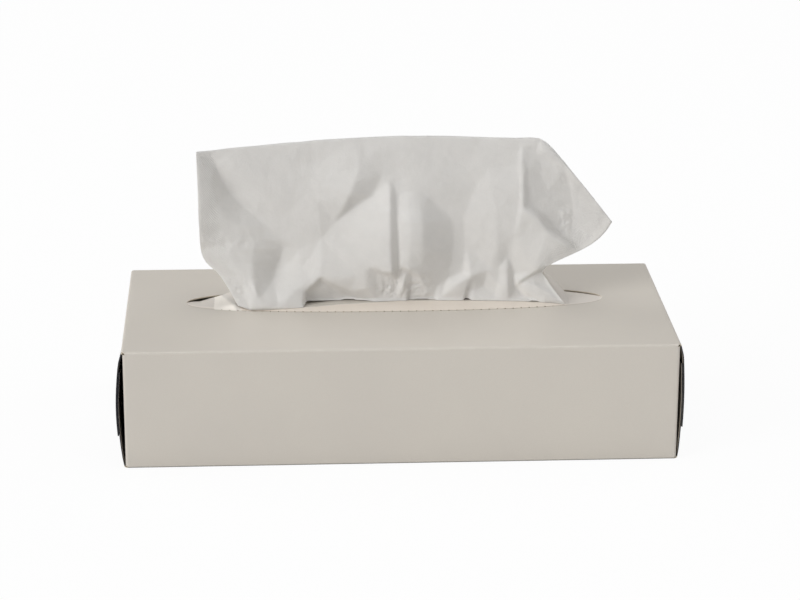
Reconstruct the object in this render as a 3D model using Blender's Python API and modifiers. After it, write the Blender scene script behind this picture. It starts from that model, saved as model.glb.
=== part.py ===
"""A flat box of paper tissues, standing on a table: the folded and glued carton with its bent
dispensing flap, the stack of interfolded tissues inside, and the tissue that is raised
through the slot. Metres, +Z up, +X along the box, the front panel faces -Y."""

import math

import bmesh
import bpy

# Carton, outside sizes over its flat panels
CARTON_LENGTH = 0.240
CARTON_DEPTH = 0.112
CARTON_HEIGHT = 0.053

# Board and how it folds
BOARD = 0.0005
FOLD_RADIUS = 0.0008
FOLD_STEPS = 3
GLUE_LINE = 0.0002
LAP_WIDTH = 0.014
LAP_SETBACK = 0.004
LAP_TAPER = 0.006
BACK_EDGE_RISE = 0.0006

# End flaps: the outer one hangs from the top panel, the inner one stands on the bottom panel
OUTER_FLAP_REACH = 0.037
INNER_FLAP_REACH = 0.043
FLAP_SIDE_GAP = 0.0004
DUST_FLAP_GAP = 0.0002
DUST_FLAP_REACH = 0.040
DUST_FLAP_TRIM = 0.0015
DUST_FLAP_TAPER = 0.007
END_BULGE = 0.0021
OUTER_STEP_RUN = 0.005
END_ROWS = 10
COLUMNS_BESIDE_SLOT = 2

# Dispensing slot in the top panel: two arcs that share their tips
SLOT_LENGTH = 0.187
SLOT_CENTRE_Y = 0.008
SLOT_FRONT_WIDTH = 0.016
SLOT_REAR_WIDTH = 0.018
SLOT_FRONT_POWER = 2.35
SLOT_REAR_POWER = 2.1
SLOT_KERF = 0.0004
SLOT_STEP = 0.0055

# Dispensing flap, hinged on the perforated front arc: its strip rises a little to a curved crease,
# the shelf behind that lies nearly flat, and the rest dives into the box
STRIP_RISE_DEG = 6.0
SHELF_FALL_DEG = 3.0
DIVE_DEG = 86.0
RIDGE_RUN = 0.007
LEFT_RIDGE_X = -0.072
RIGHT_RIDGE_X = 0.079
RIGHT_RIDGE_SLANT = 0.011
FLAP_STEPS = (2, 2, 4)
STRIP_MOST_SHARE = 0.4
SHELF_MOST_SHARE = 0.8
# By place along the slot: how far behind the hinge the crease runs, and where the dive starts
STRIP_COURSE = ((-0.0720, 0.0030), (-0.0415, 0.0048), (-0.0250, 0.0080), (0.0020, 0.0115),
                (0.0290, 0.0104), (0.0560, 0.0074), (0.0735, 0.0023), (0.0780, 0.0008))
DIVE_COURSE = ((-0.0720, 0.0100), (-0.0415, 0.0172), (-0.0250, 0.0184), (-0.0070, 0.0160),
               (0.0110, 0.0140), (0.0470, 0.0112), (0.0650, 0.0078), (0.0735, 0.0042), (0.0780, 0.0020))
# Slope of the flap's stiff tips across the slot, in degrees, by place along it
TIP_SLOPES = ((-0.0935, -5.5), (-0.0875, -6.6), (-0.0829, -3.0), (-0.0780, -0.4), (-0.0720, 0.5),
              (0.0680, 22.0), (0.0735, 12.5), (0.0785, 0.5), (0.0870, -2.0), (0.0935, -3.0))
# Curl beside the left tip: how far it stands up, by place along the slot
CURL_LIFT = ((-0.0780, 0.0), (-0.0720, 0.0014), (-0.0655, 0.0))
CURL_RUN = 0.004

# Tissues: the stack is as large as the carton holds, and each tissue in it is folded once
STACK_END_CLEARANCE = 0.020
STACK_SIDE_CLEARANCE = 0.0035
STACK_HEIGHT = 0.0282
STACK_FOLD_PITCH = 0.0014
STACK_FOLD_STEPS = 4
SEAT_GAP = 0.0003
SHEET = 0.0004
RAISED_HEIGHT = 0.078
FOLD_DEPTH = 0.010
FOLD_MIDDLE = 50
FOLD_SHARPNESS = 0.6
LAYER_GAP = 0.0055
THROAT_LAYER_GAP = 0.0022
THROAT_GATHER = 0.9
LIP_GAP = 0.0004
SHELF_GAP = 0.0006
THROAT_SETBACK = 0.0014

# The raised tissue's fold lines, left to right, each from the doubled top edge down to the lip
# where the paper turns into the slot. A point is per cent of half the tissue's width across,
# per cent of FOLD_DEPTH back from the box's middle, and per cent of RAISED_HEIGHT up. The last
# point's first number is per cent of half the slot's length instead.
FOLD_LINES = {
    "left_edge": ((-88, 60, 91), (-87, 50, 77), (-87, 50, 63), (-87, 60, 47),
                  (-85, 60, 29), (-76, 60, 17), (-72, 30, 3)),
    "edge_hollow": ((-81, 80, 91), (-80, 90, 76), (-80, 90, 61), (-80, 80, 45),
                    (-77, 80, 28), (-69, 60, 14), (-66, 10, 2)),
    "left_ridge": ((-72, 60, 92), (-70, 50, 78), (-67, 40, 63), (-64, 20, 47),
                   (-62, 20, 29), (-60, 20, 14), (-61, 0, 2)),
    "dark_hollow": ((-62, 70, 94), (-61, 80, 77), (-57, 90, 60), (-52, 100, 44),
                    (-53, 100, 27), (-51, 80, 12), (-52, 10, 1)),
    "lobe_side": ((-49, 60, 95), (-47, 60, 78), (-46, 60, 62), (-44, 60, 45),
                  (-43, 60, 28), (-42, 40, 14), (-44, 10, 2)),
    "arch": ((-33, 70, 96), (-32, 70, 78), (-31, 70, 62), (-33, 70, 46),
             (-35, 60, 31), (-34, 60, 19), (-36, 50, 13)),
    "arch_end": ((-18, 60, 97), (-18, 60, 79), (-17, 50, 64), (-18, 30, 47),
                 (-19, 20, 33), (-18, 20, 17), (-14, 50, 4)),
    "centre_left_ridge": ((-5, 50, 99), (-4, 50, 82), (-4, 20, 67), (-3, -10, 50),
                          (-3, -20, 35), (-3, 0, 19), (-3, 60, 3)),
    "centre_hollow": ((2, 50, 99), (1, 60, 82), (0, 70, 65), (0, 70, 47),
                      (1, 80, 31), (1, 80, 15), (1, 90, 2)),
    "centre_right_ridge": ((8, 50, 99), (9, 50, 82), (9, 20, 65), (9, -10, 50),
                           (9, 0, 33), (8, 0, 18), (6, 60, 3)),
    "right_hollow": ((22, 50, 99), (22, 50, 82), (25, 80, 63), (26, 100, 46),
                     (26, 100, 28), (22, 110, 13), (20, 95, 2)),
    "plain": ((39, 50, 97), (39, 50, 81), (40, 50, 64), (41, 50, 47),
              (40, 60, 31), (37, 60, 15), (36, 75, 2)),
    "right_ridge": ((55, 40, 97), (55, 10, 86), (56, -10, 68), (55, 0, 51),
                    (53, 20, 35), (51, 20, 18), (53, 60, 2)),
    "turned_hollow": ((64, 50, 96), (67, 70, 79), (69, 100, 62), (68, 100, 45),
                      (63, 80, 31), (58, 60, 17), (57, 70, 2)),
    "turned_face": ((81, 70, 72), (81, 80, 59), (79, 90, 46), (75, 90, 36),
                    (68, 80, 24), (61, 60, 14), (61, 75, 2)),
    "right_edge": ((97, 80, 45), (93, 80, 40), (87, 80, 33), (80, 80, 27),
                   (71, 80, 21), (63, 60, 13), (64, 75, 2)),
}
# Below the shelf's edge: shares of the way back to the hem, and of the way down to it
THROAT_ROWS = ((0.05, 0.12), (0.4, 0.4), (0.8, 0.72))
HEM_BACK = 155
# How far the back half leaves the front one, by row from the top edge down to the lip
LAYER_SHARES = (0.0, 0.4, 0.65, 0.8, 0.9, 1.0, 0.7)
LAYER_DAMPING = 0.55
BACK_FLARE_LEFT = 1.05
BACK_FLARE_RIGHT = 1.1

# Plain colours of the three pieces, and how matt they are
CARD_COLOUR = (0.60, 0.55, 0.49)
CARD_ROUGHNESS = 0.45
STACK_COLOUR = (0.80, 0.80, 0.77)
RAISED_COLOUR = (0.82, 0.82, 0.80)
TISSUE_ROUGHNESS = 0.9

# Worked out from the sizes above
TISSUE_WIDTH = CARTON_LENGTH - 2 * STACK_END_CLEARANCE
FOLDED_WIDTH = CARTON_DEPTH - 2 * STACK_SIDE_CLEARANCE
HALF_LENGTH = CARTON_LENGTH / 2
HALF_DEPTH = CARTON_DEPTH / 2
HALF_BOARD = BOARD / 2
SLOT_HALF = SLOT_LENGTH / 2
TOP_Z = CARTON_HEIGHT - HALF_BOARD
BOTTOM_Z = HALF_BOARD
OUTER_FLAP_X = HALF_LENGTH - HALF_BOARD
INNER_FLAP_X = OUTER_FLAP_X
OUTER_STEP = BOARD + GLUE_LINE
DUST_FLAP_X = INNER_FLAP_X - BOARD - DUST_FLAP_GAP
FRONT_Y = -HALF_DEPTH + HALF_BOARD
BACK_Y = HALF_DEPTH - HALF_BOARD
LAP_Y = BACK_Y - BOARD - GLUE_LINE
STACK_BASE = BOARD + SEAT_GAP
STACK_TOP = STACK_BASE + STACK_HEIGHT


def clear_scene():
    for obj in list(bpy.data.objects):
        bpy.data.objects.remove(obj, do_unlink=True)


def new_collection(name):
    collection = bpy.data.collections.new(name)
    bpy.context.scene.collection.children.link(collection)
    return collection


def new_material(name, colour, roughness):
    material = bpy.data.materials.new(name)
    material.use_nodes = True
    shader = material.node_tree.nodes["Principled BSDF"]
    shader.inputs["Base Color"].default_value = (*colour, 1.0)
    shader.inputs["Roughness"].default_value = roughness
    shader.inputs["Metallic"].default_value = 0.0
    return material


def smoothstep(value):
    value = min(max(value, 0.0), 1.0)
    return value * value * (3.0 - 2.0 * value)


def course(points, at):
    """Value at a place along a list of (place, value), straight between them."""
    for (left, low), (right, high) in zip(points, points[1:]):
        if at <= right:
            share = min(max((at - left) / (right - left), 0.0), 1.0)
            return low + share * (high - low)
    return points[-1][1]


def arc_y(x, width, power):
    """Half-width of the slot at x, for an arc of the given width and fullness."""
    share = min(abs(x) / SLOT_HALF, 1.0)
    return width * (1.0 - share**power) ** (1.0 / power)


def front_arc(x):
    return SLOT_CENTRE_Y - arc_y(x, SLOT_FRONT_WIDTH, SLOT_FRONT_POWER)


def rear_arc(x):
    return SLOT_CENTRE_Y + arc_y(x, SLOT_REAR_WIDTH, SLOT_REAR_POWER)


def flap_width(x):
    return rear_arc(x) - front_arc(x) - SLOT_KERF


def strip_end(x):
    """How far behind the perforated arc the flap's curved crease runs."""
    return min(course(STRIP_COURSE, x), STRIP_MOST_SHARE * flap_width(x))


def dive_start(x):
    """How far behind the perforated arc the flap turns down into the box."""
    return min(course(DIVE_COURSE, x), SHELF_MOST_SHARE * flap_width(x))


def tip_point(x, distance):
    """Point on a stiff tip of the flap, a straight run of card from the hinge to the free edge."""
    slope = math.radians(course(TIP_SLOPES, x))
    lift = course(CURL_LIFT, x) * smoothstep(distance / CURL_RUN)
    return front_arc(x) + math.cos(slope) * distance, TOP_Z + math.sin(slope) * distance + lift


def bent_point(x, distance):
    """Point on the flap's bent middle: the strip, the shelf and the part that dives into the box."""
    rise, fall, dive = (math.radians(a) for a in (STRIP_RISE_DEG, SHELF_FALL_DEG, DIVE_DEG))
    strip = min(distance, strip_end(x))
    shelf = min(max(distance - strip_end(x), 0.0), dive_start(x) - strip_end(x))
    down = max(distance - dive_start(x), 0.0)
    y = front_arc(x) + math.cos(rise) * strip + math.cos(fall) * shelf + math.cos(dive) * down
    z = TOP_Z + math.sin(rise) * strip - math.sin(fall) * shelf - math.sin(dive) * down
    return y, z


def flap_point(x, distance):
    """Point on the dispensing flap at x, at a distance along the card from its hinge."""
    across = distance / flap_width(x)
    left_part = (x - LEFT_RIDGE_X) / RIDGE_RUN
    right_part = (RIGHT_RIDGE_X - RIGHT_RIDGE_SLANT * across - x) / RIDGE_RUN
    bent = smoothstep(min(left_part, right_part))
    tip_y, tip_z = tip_point(x, distance)
    bent_y, bent_z = bent_point(x, distance)
    return x, tip_y + bent * (bent_y - tip_y), tip_z + bent * (bent_z - tip_z)


def flap_distances(x):
    """Distances from the hinge of the flap's rows at x, with rows on the crease and at the dive."""
    marks = (0.0, strip_end(x), dive_start(x), flap_width(x))
    distances = []
    for start, end, count in zip(marks, marks[1:], FLAP_STEPS):
        distances += [start + (end - start) * i / count for i in range(1, count + 1)]
    return distances


def between(marks, step):
    """Places from the first mark to the last, on every mark and no further apart than step."""
    places = []
    for left, right in zip(marks, marks[1:]):
        count = max(1, math.ceil((right - left) / step))
        places += [left + (right - left) * i / count for i in range(count)]
    return places + [marks[-1]]


def fold_arc(start_deg, centre_y, centre_z):
    """Points of a quarter-round fold, turning on from start_deg in the YZ plane."""
    points = []
    for i in range(1, FOLD_STEPS):
        angle = math.radians(start_deg + 90.0 * i / FOLD_STEPS)
        points.append((centre_y + FOLD_RADIUS * math.cos(angle), centre_z + FOLD_RADIUS * math.sin(angle)))
    return points


def end_rows():
    """Places across the box's depth, from -1 to 1, where the top panel's rows meet its ends. The
    slot's tips lie on one of them, and they crowd towards the panel's edges, where the ends bend most."""
    tip = SLOT_CENTRE_Y / HALF_DEPTH
    half = END_ROWS // 2
    eased = [math.sin(math.pi / 2 * i / half) for i in range(half + 1)]
    front = [tip + (-1.0 - tip) * share for share in reversed(eased)]
    back = [tip + (1.0 - tip) * share for share in eased]
    return front, back


def wrap_rows():
    """The blank's rows in the order it is wrapped: glue lap, bottom, front, top and back, with the
    folds between. Each row gives a function from x to (y, z), its end's x, and its panel."""
    front_rows, back_rows = end_rows()
    r = FOLD_RADIUS
    lower_z = BOTTOM_Z + r
    upper_z = TOP_Z - r
    bottom_end = INNER_FLAP_X - r
    side_end = DUST_FLAP_X - r
    top_end = OUTER_FLAP_X - r
    lap_end = side_end - LAP_SETBACK
    rows = []

    def add(panel, point, end_x):
        rows.append({"panel": panel, "point": point, "end_x": end_x})

    def add_fold(start_deg, centre_y, centre_z, from_x, to_x):
        for i, place in enumerate(reversed(fold_arc(start_deg, centre_y, centre_z)), 1):
            end_x = from_x + (to_x - from_x) * i / FOLD_STEPS
            add("fold", lambda x, place=place: place, end_x)

    add("lap", lambda x: (LAP_Y, BOTTOM_Z + LAP_WIDTH), lap_end - LAP_TAPER)
    add("lap", lambda x: (LAP_Y, lower_z), lap_end)
    add_fold(270.0, LAP_Y - r, lower_z, lap_end, bottom_end)
    for share in back_rows[::-1] + front_rows[::-1][1:]:
        limit = LAP_Y - r if share > 0 else -(FRONT_Y + r)
        add("bottom", lambda x, y=share * limit: (y, BOTTOM_Z), bottom_end)
    add_fold(180.0, FRONT_Y + r, lower_z, bottom_end, side_end)
    for z in (lower_z, CARTON_HEIGHT / 2, upper_z):
        add("front", lambda x, z=z: (FRONT_Y, z), side_end)
    add_fold(90.0, FRONT_Y + r, upper_z, side_end, top_end)
    tip = front_rows[-1]
    front_edge = FRONT_Y + r
    for share in front_rows:
        k = (share + 1.0) / (tip + 1.0)
        add("top", lambda x, k=k: (front_edge + k * (front_arc(x) - front_edge), TOP_Z), top_end)
    back_edge = BACK_Y - r
    for share in back_rows:
        k = (share - tip) / (1.0 - tip)
        add("top_rear", lambda x, k=k: (rear_arc(x) + k * (back_edge - rear_arc(x)), TOP_Z), top_end)
    add_fold(0.0, BACK_Y - r, upper_z, top_end, side_end)
    for z in (upper_z, CARTON_HEIGHT / 2, lower_z):
        add("back", lambda x, z=z: (BACK_Y, z), side_end)
    add("back_edge", lambda x: (BACK_Y, BACK_EDGE_RISE), side_end)
    return rows


def column_places():
    """Places along the box: the slot's columns, and outside its tips a share of the way to the end."""
    marks = [x for x, _ in TIP_SLOPES] + [LEFT_RIDGE_X + RIDGE_RUN]
    inner = [("at", x) for x in between(sorted(marks), SLOT_STEP)]
    outer_shares = [i / COLUMNS_BESIDE_SLOT for i in range(1, COLUMNS_BESIDE_SLOT + 1)]
    left = [("left", share) for share in reversed(outer_shares)]
    right = [("right", share) for share in outer_shares]
    return left + inner + right


def column_x(column, end_x):
    kind, value = column
    if kind == "at":
        return value
    x = SLOT_HALF + value * (end_x - SLOT_HALF)
    return -x if kind == "left" else x


def end_bulge(z):
    """How far the glued end stands out at a height: it bows between the top and bottom folds."""
    return END_BULGE * math.sin(math.pi * min(max(z / CARTON_HEIGHT, 0.0), 1.0))


def flap_heights(hinge_z, reach, downwards):
    """Heights of a hanging or standing end flap's rows, shared by both so that they lie parallel."""
    grid = [CARTON_HEIGHT * i / END_ROWS for i in range(1, END_ROWS)]
    free_z = hinge_z - reach if downwards else hinge_z + reach
    low, high = sorted((hinge_z, free_z))
    margin = 2 * FOLD_RADIUS
    inside = [z for z in grid if low + margin < z < high - margin]
    heights = [hinge_z, *(reversed(inside) if downwards else inside), free_z]
    return heights


def add_end_flap(mesh, edge, side, base_x, hinge_z, reach, downwards):
    """A flap that folds off the end of the top or bottom panel, from the panel's end vertices."""
    up = -1.0 if downwards else 1.0
    panel_z = edge[0].co.z
    start_x = base_x - FOLD_RADIUS
    limit = HALF_DEPTH - FLAP_SIDE_GAP
    span = max(abs(vertex.co.y) for vertex in edge)
    previous = edge
    for step in range(1, FOLD_STEPS + 1):
        angle = math.radians(90.0 * step / FOLD_STEPS)
        x = start_x + FOLD_RADIUS * math.sin(angle)
        z = panel_z + up * FOLD_RADIUS * (1.0 - math.cos(angle))
        row = [mesh.verts.new((side * x, vertex.co.y, z)) for vertex in edge]
        bridge(mesh, previous, row)
        previous = row
    for z in flap_heights(hinge_z, reach, downwards)[1:]:
        step = OUTER_STEP * smoothstep((hinge_z - z) / OUTER_STEP_RUN) if downwards else 0.0
        x = base_x + step + end_bulge(z)
        row = [mesh.verts.new((side * x, vertex.co.y / span * limit, z)) for vertex in edge]
        bridge(mesh, previous, row)
        previous = row


def add_dust_flap(mesh, edge, side, inwards):
    """A flap that folds off the end of the front or back panel and lies flat behind the end flaps."""
    start_x = DUST_FLAP_X - FOLD_RADIUS
    panel_y = edge[0].co.y
    middle_z = CARTON_HEIGHT / 2
    span = max(abs(vertex.co.z - middle_z) for vertex in edge)
    trimmed = middle_z - BOARD - DUST_FLAP_TRIM
    previous = edge
    for step in range(1, FOLD_STEPS + 1):
        angle = math.radians(90.0 * step / FOLD_STEPS)
        x = start_x + FOLD_RADIUS * math.sin(angle)
        y = panel_y + inwards * FOLD_RADIUS * (1.0 - math.cos(angle))
        row = [mesh.verts.new((side * x, y, vertex.co.z)) for vertex in edge]
        bridge(mesh, previous, row)
        previous = row
    for reach, taper in ((DUST_FLAP_TRIM, 0.0), (DUST_FLAP_REACH, DUST_FLAP_TAPER)):
        y = panel_y + inwards * reach
        row = []
        for vertex in edge:
            z = middle_z + (vertex.co.z - middle_z) / span * (trimmed - taper)
            row.append(mesh.verts.new((side * DUST_FLAP_X, y, z)))
        bridge(mesh, previous, row)
        previous = row


def bridge(mesh, first, second):
    """Faces between two rows of vertices, leaving out corners that the rows share."""
    for i in range(len(first) - 1):
        corners = []
        for vertex in (first[i], first[i + 1], second[i + 1], second[i]):
            if vertex not in corners:
                corners.append(vertex)
        if len(corners) > 2:
            mesh.faces.new(corners)


def carton_surface(mesh):
    """The folded blank as one open surface, at the middle of the board."""
    rows = wrap_rows()
    columns = column_places()
    grid = []
    for index, row in enumerate(rows):
        first_rear = row["panel"] == "top_rear" and rows[index - 1]["panel"] == "top"
        line = []
        for column in columns:
            x = column_x(column, row["end_x"])
            if first_rear and abs(x) >= SLOT_HALF:
                line.append(grid[-1][len(line)])
            else:
                y, z = row["point"](x)
                line.append(mesh.verts.new((x, y, z)))
        grid.append(line)
    hinge = next(i for i, row in enumerate(rows) if row["panel"] == "top_rear") - 1
    for index in range(len(rows) - 1):
        if index != hinge:
            bridge(mesh, grid[index], grid[index + 1])
    add_dispensing_flap(mesh, grid[hinge], grid[hinge + 1])
    add_all_end_flaps(mesh, rows, grid)


def add_dispensing_flap(mesh, hinge_line, rear_line):
    """The lens of card inside the slot: joined along the perforated arc, free along the rear arc."""
    tips = [i for i, vertex in enumerate(hinge_line) if vertex is rear_line[i]]
    first = max(i for i in tips if hinge_line[i].co.x < 0)
    last = min(i for i in tips if hinge_line[i].co.x > 0)
    previous = hinge_line[first : last + 1]
    columns = []
    for vertex in hinge_line[first + 1 : last]:
        x = vertex.co.x
        columns.append([mesh.verts.new(flap_point(x, distance)) for distance in flap_distances(x)])
    for inner in zip(*columns):
        row = [previous[0], *inner, previous[-1]]
        bridge(mesh, previous, row)
        previous = row


def add_all_end_flaps(mesh, rows, grid):
    outer_hinge = TOP_Z - FOLD_RADIUS
    inner_hinge = BOTTOM_Z + FOLD_RADIUS
    for end, side in ((0, -1.0), (-1, 1.0)):
        edges = {}
        for row, line in zip(rows, grid):
            edge = edges.setdefault(row["panel"].removesuffix("_rear"), [])
            if line[end] not in edge:
                edge.append(line[end])
        add_end_flap(mesh, edges["top"], side, OUTER_FLAP_X, outer_hinge, OUTER_FLAP_REACH, True)
        add_end_flap(mesh, edges["bottom"], side, INNER_FLAP_X, inner_hinge, INNER_FLAP_REACH, False)
        add_dust_flap(mesh, edges["front"], side, 1.0)
        add_dust_flap(mesh, edges["back"], side, -1.0)


def object_from(mesh, name, collection, material):
    bmesh.ops.recalc_face_normals(mesh, faces=mesh.faces[:])
    data = bpy.data.meshes.new(name)
    mesh.to_mesh(data)
    mesh.free()
    obj = bpy.data.objects.new(name, data)
    obj.data.materials.append(material)
    collection.objects.link(obj)
    return obj


def thicken(obj, thickness, even):
    """Gives a sheet its thickness, half to each side; even keeps it at folds up to a right angle."""
    solidify = obj.modifiers.new("Thickness", "SOLIDIFY")
    solidify.thickness = thickness
    solidify.offset = 0.0
    solidify.use_even_offset = even


def make_carton(collection):
    mesh = bmesh.new()
    carton_surface(mesh)
    card = new_material("card", CARD_COLOUR, CARD_ROUGHNESS)
    carton = object_from(mesh, "carton", collection, card)
    thicken(carton, BOARD, even=True)
    return carton


def stack_outline():
    """Side view of the stack: each tissue's fold stands out as a small round at the front or back."""
    folds = max(2, round(STACK_HEIGHT / STACK_FOLD_PITCH))
    pitch = STACK_HEIGHT / folds
    half = FOLDED_WIDTH / 2 - pitch / 2
    outline = []
    for side, order in ((1.0, range(folds)), (-1.0, reversed(range(folds)))):
        for number in order:
            for step in range(STACK_FOLD_STEPS):
                angle = math.pi * ((step + 0.5) / STACK_FOLD_STEPS - 0.5)
                y = side * (half + pitch / 2 * math.cos(angle))
                z = (number + 0.5) * pitch + side * pitch / 2 * math.sin(angle)
                outline.append((y, z))
    return outline


def make_stack(collection):
    """The interfolded stack, drawn as one side outline and extruded across the tissues' width."""
    curve = bpy.data.curves.new("tissue_stack", "CURVE")
    curve.dimensions = "2D"
    curve.fill_mode = "BOTH"
    curve.extrude = TISSUE_WIDTH / 2
    outline = stack_outline()
    spline = curve.splines.new("POLY")
    spline.points.add(len(outline) - 1)
    for point, (y, z) in zip(spline.points, outline):
        point.co = (y, z, 0.0, 1.0)
    spline.use_cyclic_u = True
    stack = bpy.data.objects.new("tissue_stack", curve)
    stack.data.materials.append(new_material("stacked_tissue", STACK_COLOUR, TISSUE_ROUGHNESS))
    stack.rotation_euler = (math.pi / 2, 0.0, math.pi / 2)
    stack.location = (0.0, 0.0, STACK_BASE)
    collection.objects.link(stack)
    return stack


def flap_top(x, y):
    """Height of the flap's upper face at a place on its strip or shelf."""
    _, _, z = flap_point(x, min(max(y - front_arc(x), 0.0), dive_start(x)))
    return z + HALF_BOARD


def raised_point(line, row):
    """Place of a fold line's point, in metres. The lip hangs just above the flap or higher."""
    across, back, up = line[row]
    lip = row == len(line) - 1
    half = SLOT_HALF if lip else TISSUE_WIDTH / 2
    x = across / 100 * half
    y = back / 100 * FOLD_DEPTH
    z = CARTON_HEIGHT + up / 100 * RAISED_HEIGHT
    if lip:
        z = max(z, flap_top(x, y) + LIP_GAP + SHEET / 2)
    return x, y, z


def throat_column(x, layer_back, least_z=0.0):
    """Points of a column behind its lip: over the shelf, no lower than least_z there, down behind
    it, and onto the stack."""
    hem_z = STACK_TOP + SEAT_GAP + SHEET / 2
    hem_y = HEM_BACK / 100 * FOLD_DEPTH + layer_back
    shelf_y = front_arc(x) + dive_start(x) + layer_back
    edge_y = shelf_y + THROAT_SETBACK
    over_z = flap_top(x, front_arc(x) + dive_start(x)) + SHELF_GAP + SHEET / 2
    column = [(x, shelf_y, max(over_z + LIP_GAP, least_z)), (x, edge_y, over_z)]
    for back, down in THROAT_ROWS:
        column.append((x, edge_y + back * (hem_y - edge_y), over_z + down * (hem_z - over_z)))
    column.append((x, hem_y, hem_z))
    return column


def front_layer():
    """The front half of the doubled tissue: fold lines as columns, top edge first, hem last."""
    columns = []
    for line in FOLD_LINES.values():
        column = [raised_point(line, row) for row in range(len(line))]
        lip_x = column[-1][0]
        columns.append(column + throat_column(lip_x * THROAT_GATHER, 0.0))
    return columns


def back_layer(front):
    """The back half: behind the front one, with calmer folds, and spread wider at the slot."""
    middle_y = FOLD_MIDDLE / 100 * FOLD_DEPTH
    columns = []
    for column in front:
        layer = []
        for share, (x, y, z) in zip(LAYER_SHARES, column):
            apart = share * (LAYER_GAP - LAYER_DAMPING * (y - middle_y))
            layer.append((x, y + max(apart, 0.0), z))
        x, y, z = layer.pop()
        lip_x = x * (BACK_FLARE_LEFT if x < 0 else BACK_FLARE_RIGHT)
        throat = throat_column(lip_x * THROAT_GATHER, THROAT_LAYER_GAP, z)
        columns.append([*layer, (lip_x, y, z), *throat])
    return columns


def make_raised_tissue(collection):
    """The raised tissue: one sheet doubled at its top edge, with both hems down on the stack."""
    front = front_layer()
    back = back_layer(front)
    mesh = bmesh.new()
    lines = []
    for front_column, back_column in zip(front, back):
        places = list(reversed(front_column)) + back_column[1:]
        lines.append([mesh.verts.new(place) for place in places])
    for first, second in zip(lines, lines[1:]):
        bridge(mesh, first, second)
    crease = mesh.edges.layers.float.new("crease_edge")
    top_row = len(front[0]) - 1
    for first, second in zip(lines, lines[1:]):
        mesh.edges.get((first[top_row], second[top_row]))[crease] = 1.0
    lip_row = top_row - (len(LAYER_SHARES) - 1)
    for line in lines[1:-1]:
        for lower, upper in zip(line[lip_row + 1 : top_row], line[lip_row + 2 : top_row + 1]):
            mesh.edges.get((lower, upper))[crease] = FOLD_SHARPNESS
    paper = new_material("raised_tissue", RAISED_COLOUR, TISSUE_ROUGHNESS)
    tissue = object_from(mesh, "raised_tissue", collection, paper)
    smooth = tissue.modifiers.new("Soft folds", "SUBSURF")
    smooth.levels = 1
    smooth.render_levels = 1
    thicken(tissue, SHEET, even=False)
    return tissue


def main():
    clear_scene()
    bpy.context.scene.unit_settings.system = "METRIC"
    bpy.context.scene.unit_settings.scale_length = 1.0
    parts = new_collection("tissue_box")
    make_carton(parts)
    make_stack(parts)
    make_raised_tissue(parts)


main()
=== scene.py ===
"""Looks of the tissue box: the printed folding carton with its perforated dispensing flap, the
stack of interfolded tissues in it, and the doubled tissue that stands up through the slot.
Metres, in the frame of the CAD."""

import math

import bmesh
import bpy
import numpy as np
from mathutils import Matrix, Vector, noise
from mathutils.geometry import delaunay_2d_cdt


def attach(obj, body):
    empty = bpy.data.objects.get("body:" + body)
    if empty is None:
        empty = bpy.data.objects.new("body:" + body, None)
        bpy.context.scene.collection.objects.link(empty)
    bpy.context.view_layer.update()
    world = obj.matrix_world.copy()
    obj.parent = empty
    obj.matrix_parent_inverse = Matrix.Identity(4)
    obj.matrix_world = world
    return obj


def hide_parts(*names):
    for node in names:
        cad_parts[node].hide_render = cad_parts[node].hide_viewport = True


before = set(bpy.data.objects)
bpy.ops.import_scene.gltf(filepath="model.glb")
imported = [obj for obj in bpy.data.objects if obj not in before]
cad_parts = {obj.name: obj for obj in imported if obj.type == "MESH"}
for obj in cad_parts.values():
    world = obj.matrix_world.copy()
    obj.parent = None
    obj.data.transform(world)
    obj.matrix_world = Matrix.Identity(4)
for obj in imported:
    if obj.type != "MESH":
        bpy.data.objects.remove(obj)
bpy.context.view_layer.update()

MM = 0.001

# Photograph's camera, fitted to the carton's corners: angles, distance and shift of its aim
PHOTO_WIDTH = 800
PHOTO_HEIGHT = 600
FOCAL_PX = 2676.5
SENSOR = 36.0
YAW, PITCH, ROLL = (math.radians(a) for a in (3.143, 19.091, 0.215))
CAMERA_DISTANCE = 1.2118
AIM_X = 0.00197
AIM_Z = 0.05262
CAMERA_NEAR = 0.05

# Carton, with the same sizes as the CAD
CARTON_LENGTH = 0.240
CARTON_DEPTH = 0.112
CARTON_HEIGHT = 0.053
BOARD = 0.0005
FOLD_RADIUS = 0.0008
GLUE_LINE = 0.0002
LAP_WIDTH = 0.014
LAP_SETBACK = 0.004
LAP_TAPER = 0.006
BACK_EDGE_RISE = 0.0006
OUTER_FLAP_REACH = 0.037
INNER_FLAP_REACH = 0.043
FLAP_SIDE_GAP = 0.0004
DUST_FLAP_GAP = 0.0002
DUST_FLAP_REACH = 0.040
DUST_FLAP_TRIM = 0.0015
DUST_FLAP_TAPER = 0.007
END_BULGE = 0.0021
RIGHT_BULGE = 0.0012
TUCK_LOW_Z = 0.030
TUCK_RUN = 0.022
TUCK_MOST = 0.95
OUTER_STEP_RUN = 0.005
SLOT_LENGTH = 0.187
SLOT_CENTRE_Y = 0.008
SLOT_FRONT_WIDTH = 0.016
SLOT_REAR_WIDTH = 0.018
SLOT_FRONT_POWER = 2.35
SLOT_REAR_POWER = 2.1
SLOT_KERF = 0.0004
STRIP_RISE_DEG = 6.0
SHELF_FALL_DEG = 3.0
DIVE_DEG = 86.0
RIDGE_RUN = 0.007
LEFT_RIDGE_X = -0.072
RIGHT_RIDGE_X = 0.079
RIGHT_RIDGE_SLANT = 0.011
STRIP_MOST_SHARE = 0.4
SHELF_MOST_SHARE = 0.8
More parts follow.
